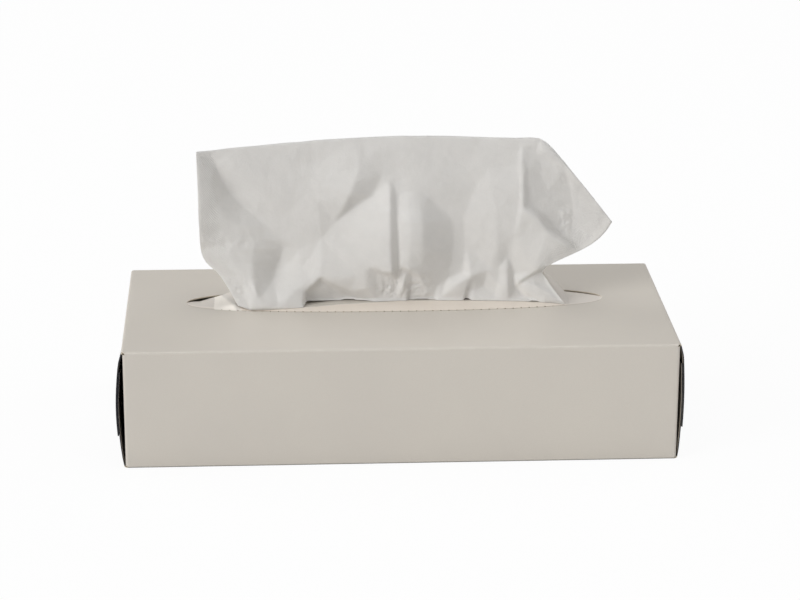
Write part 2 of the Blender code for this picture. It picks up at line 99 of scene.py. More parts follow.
# By place along the slot: how far behind the hinge the crease runs, and where the dive starts
STRIP_COURSE = ((-0.0720, 0.0030), (-0.0415, 0.0048), (-0.0250, 0.0080), (0.0020, 0.0115),
                (0.0290, 0.0104), (0.0560, 0.0074), (0.0735, 0.0023), (0.0780, 0.0008))
DIVE_COURSE = ((-0.0720, 0.0100), (-0.0415, 0.0172), (-0.0250, 0.0184), (-0.0070, 0.0160),
               (0.0110, 0.0140), (0.0470, 0.0112), (0.0650, 0.0078), (0.0735, 0.0042), (0.0780, 0.0020))
# Slope of the flap's stiff tips across the slot, in degrees, by place along it
TIP_SLOPES = ((-0.0935, -5.5), (-0.0875, -6.6), (-0.0829, -3.0), (-0.0780, -0.4), (-0.0720, 0.5),
              (0.0680, 22.0), (0.0735, 10.0), (0.0775, -1.6), (0.0850, -2.4), (0.0935, -4.0))
# Curl beside the left tip: how far it stands up, by place along the slot
CURL_LIFT = ((-0.0800, 0.0), (-0.0770, 0.0002), (-0.0715, 0.0016), (-0.0655, 0.0))
CURL_RUN = 0.004

# Perforation: short cuts through the board along the flap's hinge
PERF_LEFT = -0.0815
PERF_RIGHT = 0.0785
PERF_PITCH = 0.0036
PERF_CUT = 0.0012
PERF_WIDTH = 0.0009
PERF_MOST_SHARE = 0.2

# How finely the carton is drawn
END_COLUMNS = 12
WALL_ROWS = 8
FOLD_STEPS = 6
END_ROWS = 22
FLAP_STEPS = (10, 8, 12)
FINE_STEP = 0.0010
CREASE_EDGE = 0.0003
SAME_PLACE = 1e-6

# Places in the carton's list of materials: the end flaps, the dispensing flap, and how much farther on
# are those of the board's inside and its cut edge
END_SLOT = 1
FLAP_SLOT = 5
INSIDE_OFFSET = 2
RIM_OFFSET = 3

# Tissues in the box
STACK_END_CLEARANCE = 0.020
STACK_SIDE_CLEARANCE = 0.0035
STACK_HEIGHT = 0.0282
SEAT_GAP = 0.0003
SHEET = 0.00026
STACK_FOLDS = 58
STACK_COLUMNS = 60
STACK_ROWS = 24
ROUND_STEPS = 4
FOLD_INSET = 0.0006
FOLD_SWAY = 0.0004
TOP_HOLLOW = 0.0006

HALF_LENGTH = CARTON_LENGTH / 2
HALF_DEPTH = CARTON_DEPTH / 2
HALF_BOARD = BOARD / 2
SLOT_HALF = SLOT_LENGTH / 2
TOP_Z = CARTON_HEIGHT - HALF_BOARD
BOTTOM_Z = HALF_BOARD
OUTER_FLAP_X = HALF_LENGTH - HALF_BOARD
INNER_FLAP_X = OUTER_FLAP_X
OUTER_STEP = BOARD + GLUE_LINE
DUST_FLAP_X = INNER_FLAP_X - BOARD - DUST_FLAP_GAP
FRONT_Y = -HALF_DEPTH + HALF_BOARD
BACK_Y = HALF_DEPTH - HALF_BOARD
LAP_Y = BACK_Y - BOARD - GLUE_LINE
STACK_BASE = BOARD + SEAT_GAP
STACK_TOP = STACK_BASE + STACK_HEIGHT


# Camera

def camera_axes():
    """Forward, right and up of the photograph's camera, and its place."""
    forward = Vector((math.sin(YAW) * math.cos(PITCH), math.cos(YAW) * math.cos(PITCH), -math.sin(PITCH)))
    level = Vector((math.cos(YAW), -math.sin(YAW), 0.0))
    over = level.cross(forward)
    right = level * math.cos(ROLL) + over * math.sin(ROLL)
    up = over * math.cos(ROLL) - level * math.sin(ROLL)
    place = -forward * CAMERA_DISTANCE + right * AIM_X + up * AIM_Z
    return forward, right, up, place


FORWARD, RIGHT, UP, EYE = camera_axes()


def make_camera():
    data = bpy.data.cameras.new("photo_camera")
    data.sensor_width = SENSOR
    data.sensor_fit = "HORIZONTAL"
    data.lens = FOCAL_PX * SENSOR / PHOTO_WIDTH
    data.clip_start = CAMERA_NEAR
    camera = add_object("photo_camera", data)
    axes = Matrix((RIGHT, UP, -FORWARD)).transposed()
    camera.matrix_world = Matrix.Translation(EYE) @ axes.to_4x4()
    bpy.context.scene.camera = camera


def at_depth(px, py, y):
    """Points at pixels of the photograph and at depths y, for arrays of any shape."""
    ray = (np.array(FORWARD) + np.multiply.outer((px - PHOTO_WIDTH / 2) / FOCAL_PX, np.array(RIGHT))
           - np.multiply.outer((py - PHOTO_HEIGHT / 2) / FOCAL_PX, np.array(UP)))
    run = (y - EYE[1]) / ray[..., 1]
    return np.array(EYE) + run[..., None] * ray


# Small helpers

def smoothstep(value):
    value = np.clip(value, 0.0, 1.0)
    return value * value * (3.0 - 2.0 * value)


def course(points, at):
    """Value at a place along a list of (place, value), straight between them."""
    for (left, low), (right, high) in zip(points, points[1:]):
        if at <= right:
            share = min(max((at - left) / (right - left), 0.0), 1.0)
            return low + share * (high - low)
    return points[-1][1]


def add_object(name, data):
    obj = bpy.data.objects.new(name, data)
    bpy.context.scene.collection.objects.link(obj)
    return obj


def as_object(mesh, name):
    data = bpy.data.meshes.new(name)
    mesh.to_mesh(data)
    mesh.free()
    return add_object(name, data)


def thicken(obj, thickness, **values):
    """Turns the object's surface into a sheet, half of its thickness on each side."""
    solidify = obj.modifiers.new("Sheet", "SOLIDIFY")
    solidify.thickness = thickness
    solidify.offset = 0.0
    for name, value in values.items():
        setattr(solidify, name, value)
    graph = bpy.context.evaluated_depsgraph_get()
    graph.update()
    data = bpy.data.meshes.new_from_object(obj.evaluated_get(graph), depsgraph=graph)
    obj.modifiers.clear()
    obj.data = data
    data.shade_smooth()


def shade_sharp(obj, degrees):
    """Smooth shading, with the edges sharp where faces meet at more than an angle."""
    obj.data.shade_smooth()
    obj.data.set_sharp_from_angle(angle=math.radians(degrees))


# Materials

WHITE = (255, 255, 255)
# Angles over which edges are sharp, in degrees
CARD_SHARP = 40.0
STACK_SHARP = 70.0
# Print: how far the wear and painted highlight reach from the carton's front top edge, and the heights of
# the painted contact shade at its foot
WEAR_SHEEN_REACH = 0.0016
WEAR_SHEEN_EDGE = 0.0004
PAINTED_FOOT_SHADE_TOP = 0.00075
PAINTED_FOOT_SHADE_LOW = 0.0003
# Flap: how far its crease and its torn curl wander, and the slant of the curl's right side
CREASE_WANDER = 0.0016
TEAR_SLANT = 0.33
# Navy ends: how far the wear and painted sheen reach from their top and bottom folds
RIM_REACH = 0.0020
RIM_EDGE = 0.0002
# Tissue: its flat size, where the embossed dots lie beside its edges, and how far apart they are
FLAT_WIDTH = 0.2
FLAT_LENGTH = 0.21
DOTS_FROM = (0.0015, 0.0030)
DOTS_TO = (0.0150, 0.0120)
DOT_PITCH = 0.0012
DOT_TURN = math.radians(33.0)
LIGHT_THROUGH = 0.24


def srgb(colour):
    """Linear colour from the 0 to 255 values of a screen."""
    shares = [value / 255.0 for value in colour]
    return tuple(s / 12.92 if s <= 0.04045 else ((s + 0.055) / 1.055) ** 2.4 for s in shares)


class Nodes:
    """The node tree of a material or the world, with short calls to add and join nodes."""

    def __init__(self, name, kind="materials", shader="Principled BSDF"):
        self.owner = getattr(bpy.data, kind).new(name)
        self.owner.use_nodes = True
        self.tree = self.owner.node_tree
        self.shader = self.tree.nodes[shader]
        self.place = None

    def put(self, socket, value):
        """Sets a socket to a number, a vector or a screen colour, or joins an output to it."""
        if isinstance(value, (int, float)):
            socket.default_value = value
        elif isinstance(value, tuple):
            socket.default_value = (*srgb(value), 1.0) if len(socket.default_value) == 4 else value
        else:
            self.tree.links.new(value, socket)

    def add(self, kind, sockets=None, **values):
        node = self.tree.nodes.new(kind)
        for name, value in values.items():
            setattr(node, name, value)
        for name, value in (sockets or {}).items():
            self.put(node.inputs[name], value)
        return node

    def coordinates(self):
        """Places in the object's own frame."""
        if self.place is None:
            self.place = self.add("ShaderNodeTexCoord").outputs["Object"]
        return self.place

    def axis(self, index, of=None):
        vector = self.coordinates() if of is None else of
        return self.add("ShaderNodeSeparateXYZ", {"Vector": vector}).outputs[index]

    def math(self, operation, first, second=0.0):
        node = self.add("ShaderNodeMath", operation=operation)
        for socket, value in zip(node.inputs, (first, second)):
            self.put(socket, value)
        return node.outputs[0]

    def times(self, first, second):
        return self.math("MULTIPLY", first, second)

    def noise(self, scale, detail=2.0, rough=0.5, stretch=(1.0, 1.0, 1.0)):
        place = self.add("ShaderNodeMapping", {"Vector": self.coordinates(), "Scale": stretch}).outputs[0]
        sockets = {"Vector": place, "Scale": scale, "Detail": detail, "Roughness": rough}
        return self.add("ShaderNodeTexNoise", sockets).outputs["Fac"]

    def ramp(self, value, low, high):
        """Value stretched so that low gives 0 and high gives 1."""
        sockets = {"Value": value, "From Min": low, "From Max": high}
        return self.add("ShaderNodeMapRange", sockets, clamp=True).outputs[0]

    def mix(self, share, first, second):
        node = self.add("ShaderNodeMix", data_type="RGBA")
        sockets = [s for s in node.inputs if s.enabled]
        for socket, value in zip(sockets, (share, first, second)):
            self.put(socket, value)
        return next(s for s in node.outputs if s.enabled)

    def bump(self, height, strength, distance, under=None):
        sockets = {"Strength": strength, "Distance": distance, "Height": height}
        if under is not None:
            sockets["Normal"] = under
        return self.add("ShaderNodeBump", sockets).outputs[0]

    def seen(self):
        """1 for rays that come from the camera, straight or through something clear, else 0."""
        paths = self.add("ShaderNodeLightPath").outputs
        return self.math("MAXIMUM", paths["Is Camera Ray"], paths["Is Transmission Ray"])

    def blend(self, share, second):
        """Puts a mix of the main shader and a second one on the tree's output."""
        node = self.add("ShaderNodeMixShader")
        for socket, value in zip(node.inputs, (share, self.shader.outputs[0], second.outputs[0])):
            self.put(socket, value)
        output = next(n for n in self.tree.nodes if n.type.startswith("OUTPUT_"))
        self.put(output.inputs["Surface"], node.outputs[0])

    def paint(self, colour, roughness, specular, normal=None):
        """Sets the main shader's sockets and gives the material."""
        looks = {"Base Color": colour, "Roughness": roughness, "Specular IOR Level": specular}
        if normal is not None:
            looks["Normal"] = normal
        for name, value in looks.items():
            self.put(self.shader.inputs[name], value)
        return self.owner


def flap_print(n, colour):
    """The flap's print: its strip before the crease painted lighter for light that the tissue throws on it,
    its tips painted lighter against the tissue's shade, painted shade along the perforated hinge, a pale
    crease that is partly rubbed coat and partly painted highlight, and the torn curl beside its left tip,
    pale board with its right side painted in shade. Its map holds how far a place lies from the hinge and
    from the crease."""
    uv = n.add("ShaderNodeUVMap", uv_map="flap").outputs[0]
    out, beyond = n.axis(0, uv), n.axis(1, uv)
    wander = n.times(n.math("SUBTRACT", n.noise(800.0, 3.0, 0.7), 0.5), CREASE_WANDER)
    beside = n.math("ABSOLUTE", n.math("ADD", beyond, n.times(wander, 0.25)))
    # Painted light: the strip between hinge and crease made lighter, for light that the tissue throws on it
    strip = n.times(n.ramp(beyond, 0.0001, -0.0004), n.ramp(out, 0.0002, 0.0009))
    colour = n.mix(n.times(strip, 0.85), colour, (236, 226, 214))
    # Painted light: the flap's tips made lighter, against the tissue's shade on them
    tips = n.ramp(n.math("ABSOLUTE", n.axis(0)), 0.066, 0.074)
    colour = n.mix(n.times(tips, 0.5), colour, (236, 229, 222))
    # Painted shade along the perforated hinge
    colour = n.mix(n.ramp(out, 0.0007, 0.0002), colour, (172, 160, 146))
    # Pale crease: partly rubbed coat, partly a painted highlight
    fold = n.times(n.ramp(beside, 0.0005, 0.0002), n.ramp(n.noise(260.0, 3.0), 0.30, 0.55))
    colour = n.mix(n.times(fold, 0.7), colour, (240, 233, 223))
    right = n.math("ADD", n.math("ADD", n.axis(0), n.times(n.axis(1), TEAR_SLANT)), wander)
    left = n.math("ADD", n.axis(0), wander)
    torn = n.times(n.ramp(right, -0.0698, -0.0702), n.ramp(left, -0.0812, -0.0808))
    # Torn curl: pale board, its right side painted in shade
    pale = n.mix(n.ramp(right, -0.0716, -0.0728), (220, 215, 208), (250, 244, 235))
    return n.mix(torn, colour, pale)


def printed_card(name="printed_card", on_flap=False):
    """Warm grey print under a satin coat, on board with a fine fibre grain; rubbed pale with a painted
    highlight along the front top edge, and painted shade along its foot.
    """
    n = Nodes(name)
    broad = n.ramp(n.noise(18.0, 3.0), 0.3, 0.7)
    fleck = n.ramp(n.noise(2600.0, 2.0, stretch=(1.0, 2.2, 2.2)), 0.35, 0.65)
    base = n.mix(broad, (208, 202, 193), (212, 206, 196))
    colour = n.mix(n.times(fleck, 0.35), base, (202, 195, 186))
    # Pale rub along the front top edge: partly wear, partly a painted highlight on the fold
    front = n.ramp(n.axis(1), -HALF_DEPTH + WEAR_SHEEN_REACH, -HALF_DEPTH)
    high = n.ramp(n.axis(2), CARTON_HEIGHT - WEAR_SHEEN_REACH, CARTON_HEIGHT - WEAR_SHEEN_EDGE)
    rub = n.ramp(n.noise(420.0, 4.0, 0.65, (0.5, 1.0, 1.0)), 0.44, 0.70)
    wear_and_sheen = n.times(n.times(front, high), n.times(rub, 0.22))
    colour = n.mix(wear_and_sheen, colour, (232, 227, 219))
    # Painted contact shade along the carton's foot
    colour = n.mix(n.ramp(n.axis(2), PAINTED_FOOT_SHADE_TOP, PAINTED_FOOT_SHADE_LOW), colour, (58, 54, 50))
    if on_flap:
        colour = flap_print(n, colour)
    gloss = n.math("ADD", n.times(n.noise(900.0, 3.0), 0.10), 0.36)
    wave = n.bump(n.noise(30.0, 1.0), 0.10, 0.0006)
    fibre = n.bump(n.noise(1700.0, 4.0, 0.6, (0.6, 1.6, 1.6)), 0.25, 0.00006, wave)
    return n.paint(colour, gloss, 0.45, fibre)


def navy_card():
    """Near-black blue print of the end flaps, rubbed grey along the folds, partly wear and partly a painted
    sheen.
    """
    n = Nodes("navy_card")
    rub = n.ramp(n.noise(700.0, 5.0, 0.7), 0.45, 0.72)
    # Grey rim along the top and bottom folds: partly wear, partly a painted sheen
    top_rim = n.ramp(n.axis(2), CARTON_HEIGHT - RIM_REACH - RIM_EDGE, CARTON_HEIGHT - RIM_EDGE)
    rim = n.math("MAXIMUM", top_rim, n.ramp(n.axis(2), RIM_REACH, RIM_EDGE))
    wear_and_sheen = n.times(rim, n.times(rub, 0.35))
    base = n.mix(n.ramp(n.noise(60.0, 3.0), 0.3, 0.7), (9, 12, 20), (14, 18, 28))
    gloss = n.math("ADD", n.times(n.noise(900.0, 3.0), 0.12), 0.62)
    wave = n.bump(n.noise(60.0, 2.0), 0.15, 0.0005)
    fibre = n.bump(n.noise(1700.0, 4.0, 0.6), 0.25, 0.00006, wave)
    return n.paint(n.mix(wear_and_sheen, base, (120, 122, 126)), gloss, 0.02, fibre)


def dark_edge():
    """Cut edge of the navy flaps: dark grey, mottled."""
    n = Nodes("dark_edge")
    mottle = n.ramp(n.noise(1500.0, 4.0), 0.35, 0.65)
    return n.paint(n.mix(mottle, (30, 32, 37), (62, 62, 64)), 0.8, 0.1)


def raw_board():
    """Uncoated inside and cut edges of the board: pale grey fibres."""
    n = Nodes("raw_board")
    fibre = n.ramp(n.noise(1500.0, 5.0, 0.7, (0.35, 1.0, 1.0)), 0.32, 0.68)
    patch = n.ramp(n.noise(70.0, 4.0), 0.3, 0.7)
    light = n.mix(patch, (206, 196, 178), (213, 204, 188))
    colour = n.mix(n.times(fibre, 0.6), light, (186, 174, 154))
    return n.paint(colour, 0.92, 0.2, n.bump(fibre, 0.35, 0.00012))


def sheet_relief(n, normal):
    """Crepe ribs along the sheet and embossed dots beside its two edges, on the sheet's own map."""
    uv = n.add("ShaderNodeUVMap", uv_map="sheet").outputs[0]
    ribs = {"Vector": uv, "Scale": 620.0, "Distortion": 5.0, "Detail": 3.0, "Detail Scale": 0.7}
    crepe = n.add("ShaderNodeTexWave", ribs, wave_type="BANDS", bands_direction="Y")
    normal = n.bump(crepe.outputs["Fac"], 0.16, 0.00008, normal)
    across = n.axis(0, uv)
    edge = n.math("MINIMUM", across, n.math("SUBTRACT", FLAT_WIDTH, across))
    band = n.times(n.ramp(edge, *DOTS_FROM), n.ramp(edge, *DOTS_TO))
    turned = {"Vector": uv, "Rotation": (0.0, 0.0, DOT_TURN), "Scale": (DOT_PITCH, DOT_PITCH, 1.0)}
    turn = n.add("ShaderNodeMapping", turned, vector_type="TEXTURE")
    cells = {"Vector": turn.outputs[0], "Randomness": 0.0, "Scale": 1.0}
    grid = n.add("ShaderNodeTexVoronoi", voronoi_dimensions="2D", sockets=cells)
    dot = n.ramp(grid.outputs["Distance"], 0.42, 0.20)
    return n.bump(n.times(dot, band), 0.55, -0.00022, normal)


def tissue_paper(name, with_sheet_map):
    """Soft white tissue with cloudy fibres, which lets some light through."""
    n = Nodes(name)
    cloud = n.ramp(n.noise(160.0, 4.0, 0.6), 0.3, 0.7)
    base = n.mix(cloud, (239, 237, 235), (244, 242, 240))
    fibre = n.noise(2400.0, 4.0, 0.65)
    colour = n.mix(n.times(n.ramp(fibre, 0.35, 0.7), 0.30), base, (231, 229, 226))
    normal = n.bump(n.noise(330.0, 4.0, 0.62), 0.30, 0.0005)
    normal = n.bump(fibre, 0.30, 0.00010, normal)
    if with_sheet_map:
        normal = sheet_relief(n, normal)
    material = n.paint(colour, 0.95, 0.12, normal)
    n.put(n.shader.inputs["Sheen Weight"], 0.05)
    n.put(n.shader.inputs["Sheen Roughness"], 0.6)
    through = n.add("ShaderNodeBsdfTranslucent", {"Color": (242, 242, 236), "Normal": normal})
    n.blend(LIGHT_THROUGH, through)
    return material


# Carton

def arc_y(x, width, power):
    share = min(abs(x) / SLOT_HALF, 1.0)
    return width * (1.0 - share**power) ** (1.0 / power)


def front_arc(x):
    return SLOT_CENTRE_Y - arc_y(x, SLOT_FRONT_WIDTH, SLOT_FRONT_POWER)


def rear_arc(x):
    return SLOT_CENTRE_Y + arc_y(x, SLOT_REAR_WIDTH, SLOT_REAR_POWER)


def flap_width(x):
    return rear_arc(x) - front_arc(x) - SLOT_KERF


def strip_end(x):
    return min(course(STRIP_COURSE, x), STRIP_MOST_SHARE * flap_width(x))


def dive_start(x):
    return min(course(DIVE_COURSE, x), SHELF_MOST_SHARE * flap_width(x))


def tip_point(x, distance):
    slope = math.radians(course(TIP_SLOPES, x))
    lift = course(CURL_LIFT, x) * smoothstep(distance / CURL_RUN)
    return front_arc(x) + math.cos(slope) * distance, TOP_Z + math.sin(slope) * distance + lift


def bent_point(x, distance):
    rise, fall, dive = (math.radians(a) for a in (STRIP_RISE_DEG, SHELF_FALL_DEG, DIVE_DEG))
    strip = min(distance, strip_end(x))
    shelf = min(max(distance - strip_end(x), 0.0), dive_start(x) - strip_end(x))
    down = max(distance - dive_start(x), 0.0)
    y = front_arc(x) + math.cos(rise) * strip + math.cos(fall) * shelf + math.cos(dive) * down
    z = TOP_Z + math.sin(rise) * strip - math.sin(fall) * shelf - math.sin(dive) * down
    return y, z


def flap_point(x, distance):
    """Point on the dispensing flap at x, at a distance along the card from its hinge."""
    across = distance / flap_width(x)
    left_part = (x - LEFT_RIDGE_X) / RIDGE_RUN
    right_part = (RIGHT_RIDGE_X - RIGHT_RIDGE_SLANT * across - x) / RIDGE_RUN
    bent = smoothstep(min(left_part, right_part))
    tip_y, tip_z = tip_point(x, distance)
    bent_y, bent_z = bent_point(x, distance)
    return x, tip_y + bent * (bent_y - tip_y), tip_z + bent * (bent_z - tip_z)


def flap_top(x, y):
    """Height of the flap's upper face at a place on its strip or shelf."""
    _, _, z = flap_point(x, min(max(y - front_arc(x), 0.0), dive_start(x)))
    return z + HALF_BOARD


def between(marks, step):
    places = []
    for left, right in zip(marks, marks[1:]):
        count = max(1, math.ceil((right - left) / step))
        places += [left + (right - left) * i / count for i in range(count)]
    return places + [marks[-1]]


def perforation_marks():
    """Ends of the perforation's cuts, two for each."""
    count = int((PERF_RIGHT - PERF_LEFT) / PERF_PITCH)
    marks = []
    for i in range(count):
        start = PERF_LEFT + i * PERF_PITCH
        marks += [start, start + PERF_CUT]
    return marks


def column_places():
    marks = perforation_marks()
    inner = [("at", x) for x in between([-SLOT_HALF, *marks, SLOT_HALF], FINE_STEP)]
    shares = [i / END_COLUMNS for i in range(1, END_COLUMNS + 1)]
    return [("left", s) for s in reversed(shares)] + inner + [("right", s) for s in shares]


def column_x(column, end_x):
    kind, value = column
    if kind == "at":
        return value
    x = SLOT_HALF + value * (end_x - SLOT_HALF)
    return -x if kind == "left" else x


def fold_arc(start_deg, centre_y, centre_z):
    points = []
    for i in range(1, FOLD_STEPS):
        angle = math.radians(start_deg + 90.0 * i / FOLD_STEPS)
        points.append((centre_y + FOLD_RADIUS * math.cos(angle), centre_z + FOLD_RADIUS * math.sin(angle)))
    return points


def end_rows():
    tip = SLOT_CENTRE_Y / HALF_DEPTH
    half = END_ROWS // 2
    eased = [math.sin(math.pi / 2 * i / half) for i in range(half + 1)]
    return ([tip + (-1.0 - tip) * share for share in reversed(eased)],
            [tip + (1.0 - tip) * share for share in eased])


def wrap_rows():
    front_rows, back_rows = end_rows()
    r = FOLD_RADIUS
    lower_z = BOTTOM_Z + r
    upper_z = TOP_Z - r
    bottom_end = INNER_FLAP_X - r
    side_end = DUST_FLAP_X - r
    top_end = OUTER_FLAP_X - r
    lap_end = side_end - LAP_SETBACK
    rows = []

    def add(panel, point, end_x):
        rows.append((panel, point, end_x))

    def add_fold(start_deg, centre_y, centre_z, from_x, to_x):
        for i, place in enumerate(reversed(fold_arc(start_deg, centre_y, centre_z)), 1):
            end_x = from_x + (to_x - from_x) * i / FOLD_STEPS
            add("fold", lambda x, place=place: place, end_x)

    heights = [lower_z + (upper_z - lower_z) * i / WALL_ROWS for i in range(WALL_ROWS + 1)]
    add("lap", lambda x: (LAP_Y, BOTTOM_Z + LAP_WIDTH), lap_end - LAP_TAPER)
    add("lap", lambda x: (LAP_Y, lower_z), lap_end)
    add_fold(270.0, LAP_Y - r, lower_z, lap_end, bottom_end)
    for share in back_rows[::-1] + front_rows[::-1][1:]:
        limit = LAP_Y - r if share > 0 else -(FRONT_Y + r)
        add("bottom", lambda x, y=share * limit: (y, BOTTOM_Z), bottom_end)
    add_fold(180.0, FRONT_Y + r, lower_z, bottom_end, side_end)
    for z in heights:
        add("front", lambda x, z=z: (FRONT_Y, z), side_end)
    add_fold(90.0, FRONT_Y + r, upper_z, side_end, top_end)
    tip = front_rows[-1]
    front_edge = FRONT_Y + r
    for share in front_rows:
        k = (share + 1.0) / (tip + 1.0)
        if k == 1.0:
            add("top", lambda x: (front_arc(x) - CREASE_EDGE, TOP_Z), top_end)
        add("top", lambda x, k=k: (front_edge + k * (front_arc(x) - front_edge), TOP_Z), top_end)
    back_edge = BACK_Y - r
    for share in back_rows:
        k = (share - tip) / (1.0 - tip)
        add("top_rear", lambda x, k=k: (rear_arc(x) + k * (back_edge - rear_arc(x)), TOP_Z), top_end)
        if k == 0.0:
            add("top_rear", lambda x: (rear_arc(x) + CREASE_EDGE, TOP_Z), top_end)
    add_fold(0.0, BACK_Y - r, upper_z, top_end, side_end)
    for z in reversed(heights):
        add("back", lambda x, z=z: (BACK_Y, z), side_end)
    add("back_edge", lambda x: (BACK_Y, BACK_EDGE_RISE), side_end)
    return rows


def end_bulge(z, side):
    most = END_BULGE if side < 0 else RIGHT_BULGE
    return most * math.sin(math.pi * min(max(z / CARTON_HEIGHT, 0.0), 1.0))


def end_tuck(y, z):
    """Share of the bulge that is left close below the top fold, away from the front corner."""
    high = smoothstep((z - TUCK_LOW_Z) / (CARTON_HEIGHT - TUCK_LOW_Z))
    behind = smoothstep((y + HALF_DEPTH) / TUCK_RUN)
    return 1.0 - TUCK_MOST * high * behind


def bridge(mesh, first, second, material=0, skip=()):
    for i in range(len(first) - 1):
        if i in skip:
            continue
        corners = []
        for vertex in (first[i], first[i + 1], second[i + 1], second[i]):
            if vertex not in corners:
                corners.append(vertex)
        if len(corners) > 2:
            mesh.faces.new(corners).material_index = material


def bend(mesh, edge, base_x, place):
    """Rows round the fold at a panel's end: place gives a vertex's new place from its old one, the row's
    distance from the middle, and how far the fold has turned in."""
    previous = edge
    for step in range(1, FOLD_STEPS + 1):
        angle = math.radians(90.0 * step / FOLD_STEPS)
        x = base_x - FOLD_RADIUS + FOLD_RADIUS * math.sin(angle)
        turn = FOLD_RADIUS * (1.0 - math.cos(angle))
        row = [mesh.verts.new(place(vertex.co, x, turn)) for vertex in edge]
        bridge(mesh, previous, row)
        previous = row
    return previous


def add_end_flap(mesh, edge, side, base_x, hinge_z, reach, downwards):
    up = -1.0 if downwards else 1.0
    panel_z = edge[0].co.z
    limit = HALF_DEPTH - FLAP_SIDE_GAP
    span = max(abs(vertex.co.y) for vertex in edge)
    previous = bend(mesh, edge, base_x, lambda co, x, turn: (side * x, co.y, panel_z + up * turn))
    grid = [CARTON_HEIGHT * i / END_ROWS for i in range(1, END_ROWS)]
    free_z = hinge_z + up * reach
    low, high = sorted((hinge_z, free_z))
    inside = [z for z in grid if low + 2 * FOLD_RADIUS < z < high - FOLD_RADIUS]
    for z in [*(reversed(inside) if downwards else inside), free_z]:
        step = OUTER_STEP * smoothstep((hinge_z - z) / OUTER_STEP_RUN) if downwards else 0.0
        out = step + end_bulge(z, side)
        row = []
        for vertex in edge:
            y = vertex.co.y / span * limit
            tuck = end_tuck(y, z) if downwards else 1.0
            row.append(mesh.verts.new((side * (base_x + out * tuck), y, z)))
        bridge(mesh, previous, row, END_SLOT)
        previous = row


def add_dust_flap(mesh, edge, side, inwards):
    panel_y = edge[0].co.y
    middle_z = CARTON_HEIGHT / 2
    span = max(abs(vertex.co.z - middle_z) for vertex in edge)
    trimmed = middle_z - BOARD - DUST_FLAP_TRIM
    previous = bend(mesh, edge, DUST_FLAP_X, lambda co, x, turn: (side * x, panel_y + inwards * turn, co.z))
    for reach, taper in ((DUST_FLAP_TRIM, 0.0), (DUST_FLAP_REACH, DUST_FLAP_TAPER)):
        y = panel_y + inwards * reach
        row = []
        for vertex in edge:
            z = middle_z + (vertex.co.z - middle_z) / span * (trimmed - taper)
            row.append(mesh.verts.new((side * DUST_FLAP_X, y, z)))
        bridge(mesh, previous, row, END_SLOT)
        previous = row


def carton_surface(mesh):
    rows = wrap_rows()
    columns = column_places()
    grid = []
    panels = [panel for panel, _, _ in rows]
    hinge = panels.index("top_rear") - 1
    for index, (_, point, end_x) in enumerate(rows):
        line = []
        for column in columns:
            x = column_x(column, end_x)
            if index == hinge + 1 and abs(x) >= SLOT_HALF:
                line.append(grid[hinge][len(line)])
            else:
                y, z = point(x)
                line.append(mesh.verts.new((x, y, z)))
        grid.append(line)
    for index in range(len(rows) - 1):
        if index != hinge:
            bridge(mesh, grid[index], grid[index + 1])
    add_dispensing_flap(mesh, grid[hinge], grid[hinge + 1])
    for end, side in ((0, -1.0), (-1, 1.0)):
        edges = {}
        for panel, line in zip(panels, grid):
            edge = edges.setdefault(panel.removesuffix("_rear"), [])
            if line[end] not in edge:
                edge.append(line[end])
        upper, lower = TOP_Z - FOLD_RADIUS, BOTTOM_Z + FOLD_RADIUS
        add_end_flap(mesh, edges["top"], side, OUTER_FLAP_X, upper, OUTER_FLAP_REACH, True)
        add_end_flap(mesh, edges["bottom"], side, INNER_FLAP_X, lower, INNER_FLAP_REACH, False)
        add_dust_flap(mesh, edges["front"], side, 1.0)
        add_dust_flap(mesh, edges["back"], side, -1.0)


def flap_distances(x):
    """Distances from the hinge of the flap's rows at x: the perforation's far side, then rows that
    come close together at the crease and at the dive."""
    marks = (min(PERF_WIDTH, PERF_MOST_SHARE * strip_end(x)), strip_end(x), dive_start(x), flap_width(x))
    distances = [marks[0]]
    for start, end, count in zip(marks, marks[1:], FLAP_STEPS):
        edge = min(CREASE_EDGE, (end - start) / 4)
        inner = [start + edge + (end - start - 2 * edge) * i / count for i in range(count + 1)]
        distances += [*inner, end]
    return distances


def add_dispensing_flap(mesh, hinge_line, rear_line):
    """The flap: the hinge's cuts are left open between its first two rows. Its map holds how far
    each place lies from the hinge and from the crease."""
    tips = [i for i, vertex in enumerate(hinge_line) if vertex is rear_line[i]]
    first = max(i for i in tips if hinge_line[i].co.x < 0)
    last = min(i for i in tips if hinge_line[i].co.x > 0)
    previous = hinge_line[first : last + 1]
    starts = perforation_marks()[::2]
    skip = {i for i, v in enumerate(previous[:-1])
            if any(abs(v.co.x - start) < SAME_PLACE for start in starts)}
    columns = []
    for vertex in hinge_line[first + 1 : last]:
        x = vertex.co.x
        columns.append([(mesh.verts.new(flap_point(x, d)), d, d - strip_end(x))
                        for d in flap_distances(x)])
    place = {vertex: (0.0, -strip_end(vertex.co.x)) for vertex in previous}
    for column in columns:
        place.update({vertex: (d, beyond) for vertex, d, beyond in column})
    known = set(mesh.faces)
    for number, inner in enumerate(zip(*columns)):
        row = [previous[0], *(vertex for vertex, _, _ in inner), previous[-1]]
        bridge(mesh, previous, row, FLAP_SLOT, skip if number == 0 else ())
        previous = row
    uv = mesh.loops.layers.uv.new("flap")
    for face in mesh.faces:
        if face not in known:
            for loop in face.loops:
                loop[uv].uv = place[loop.vert]


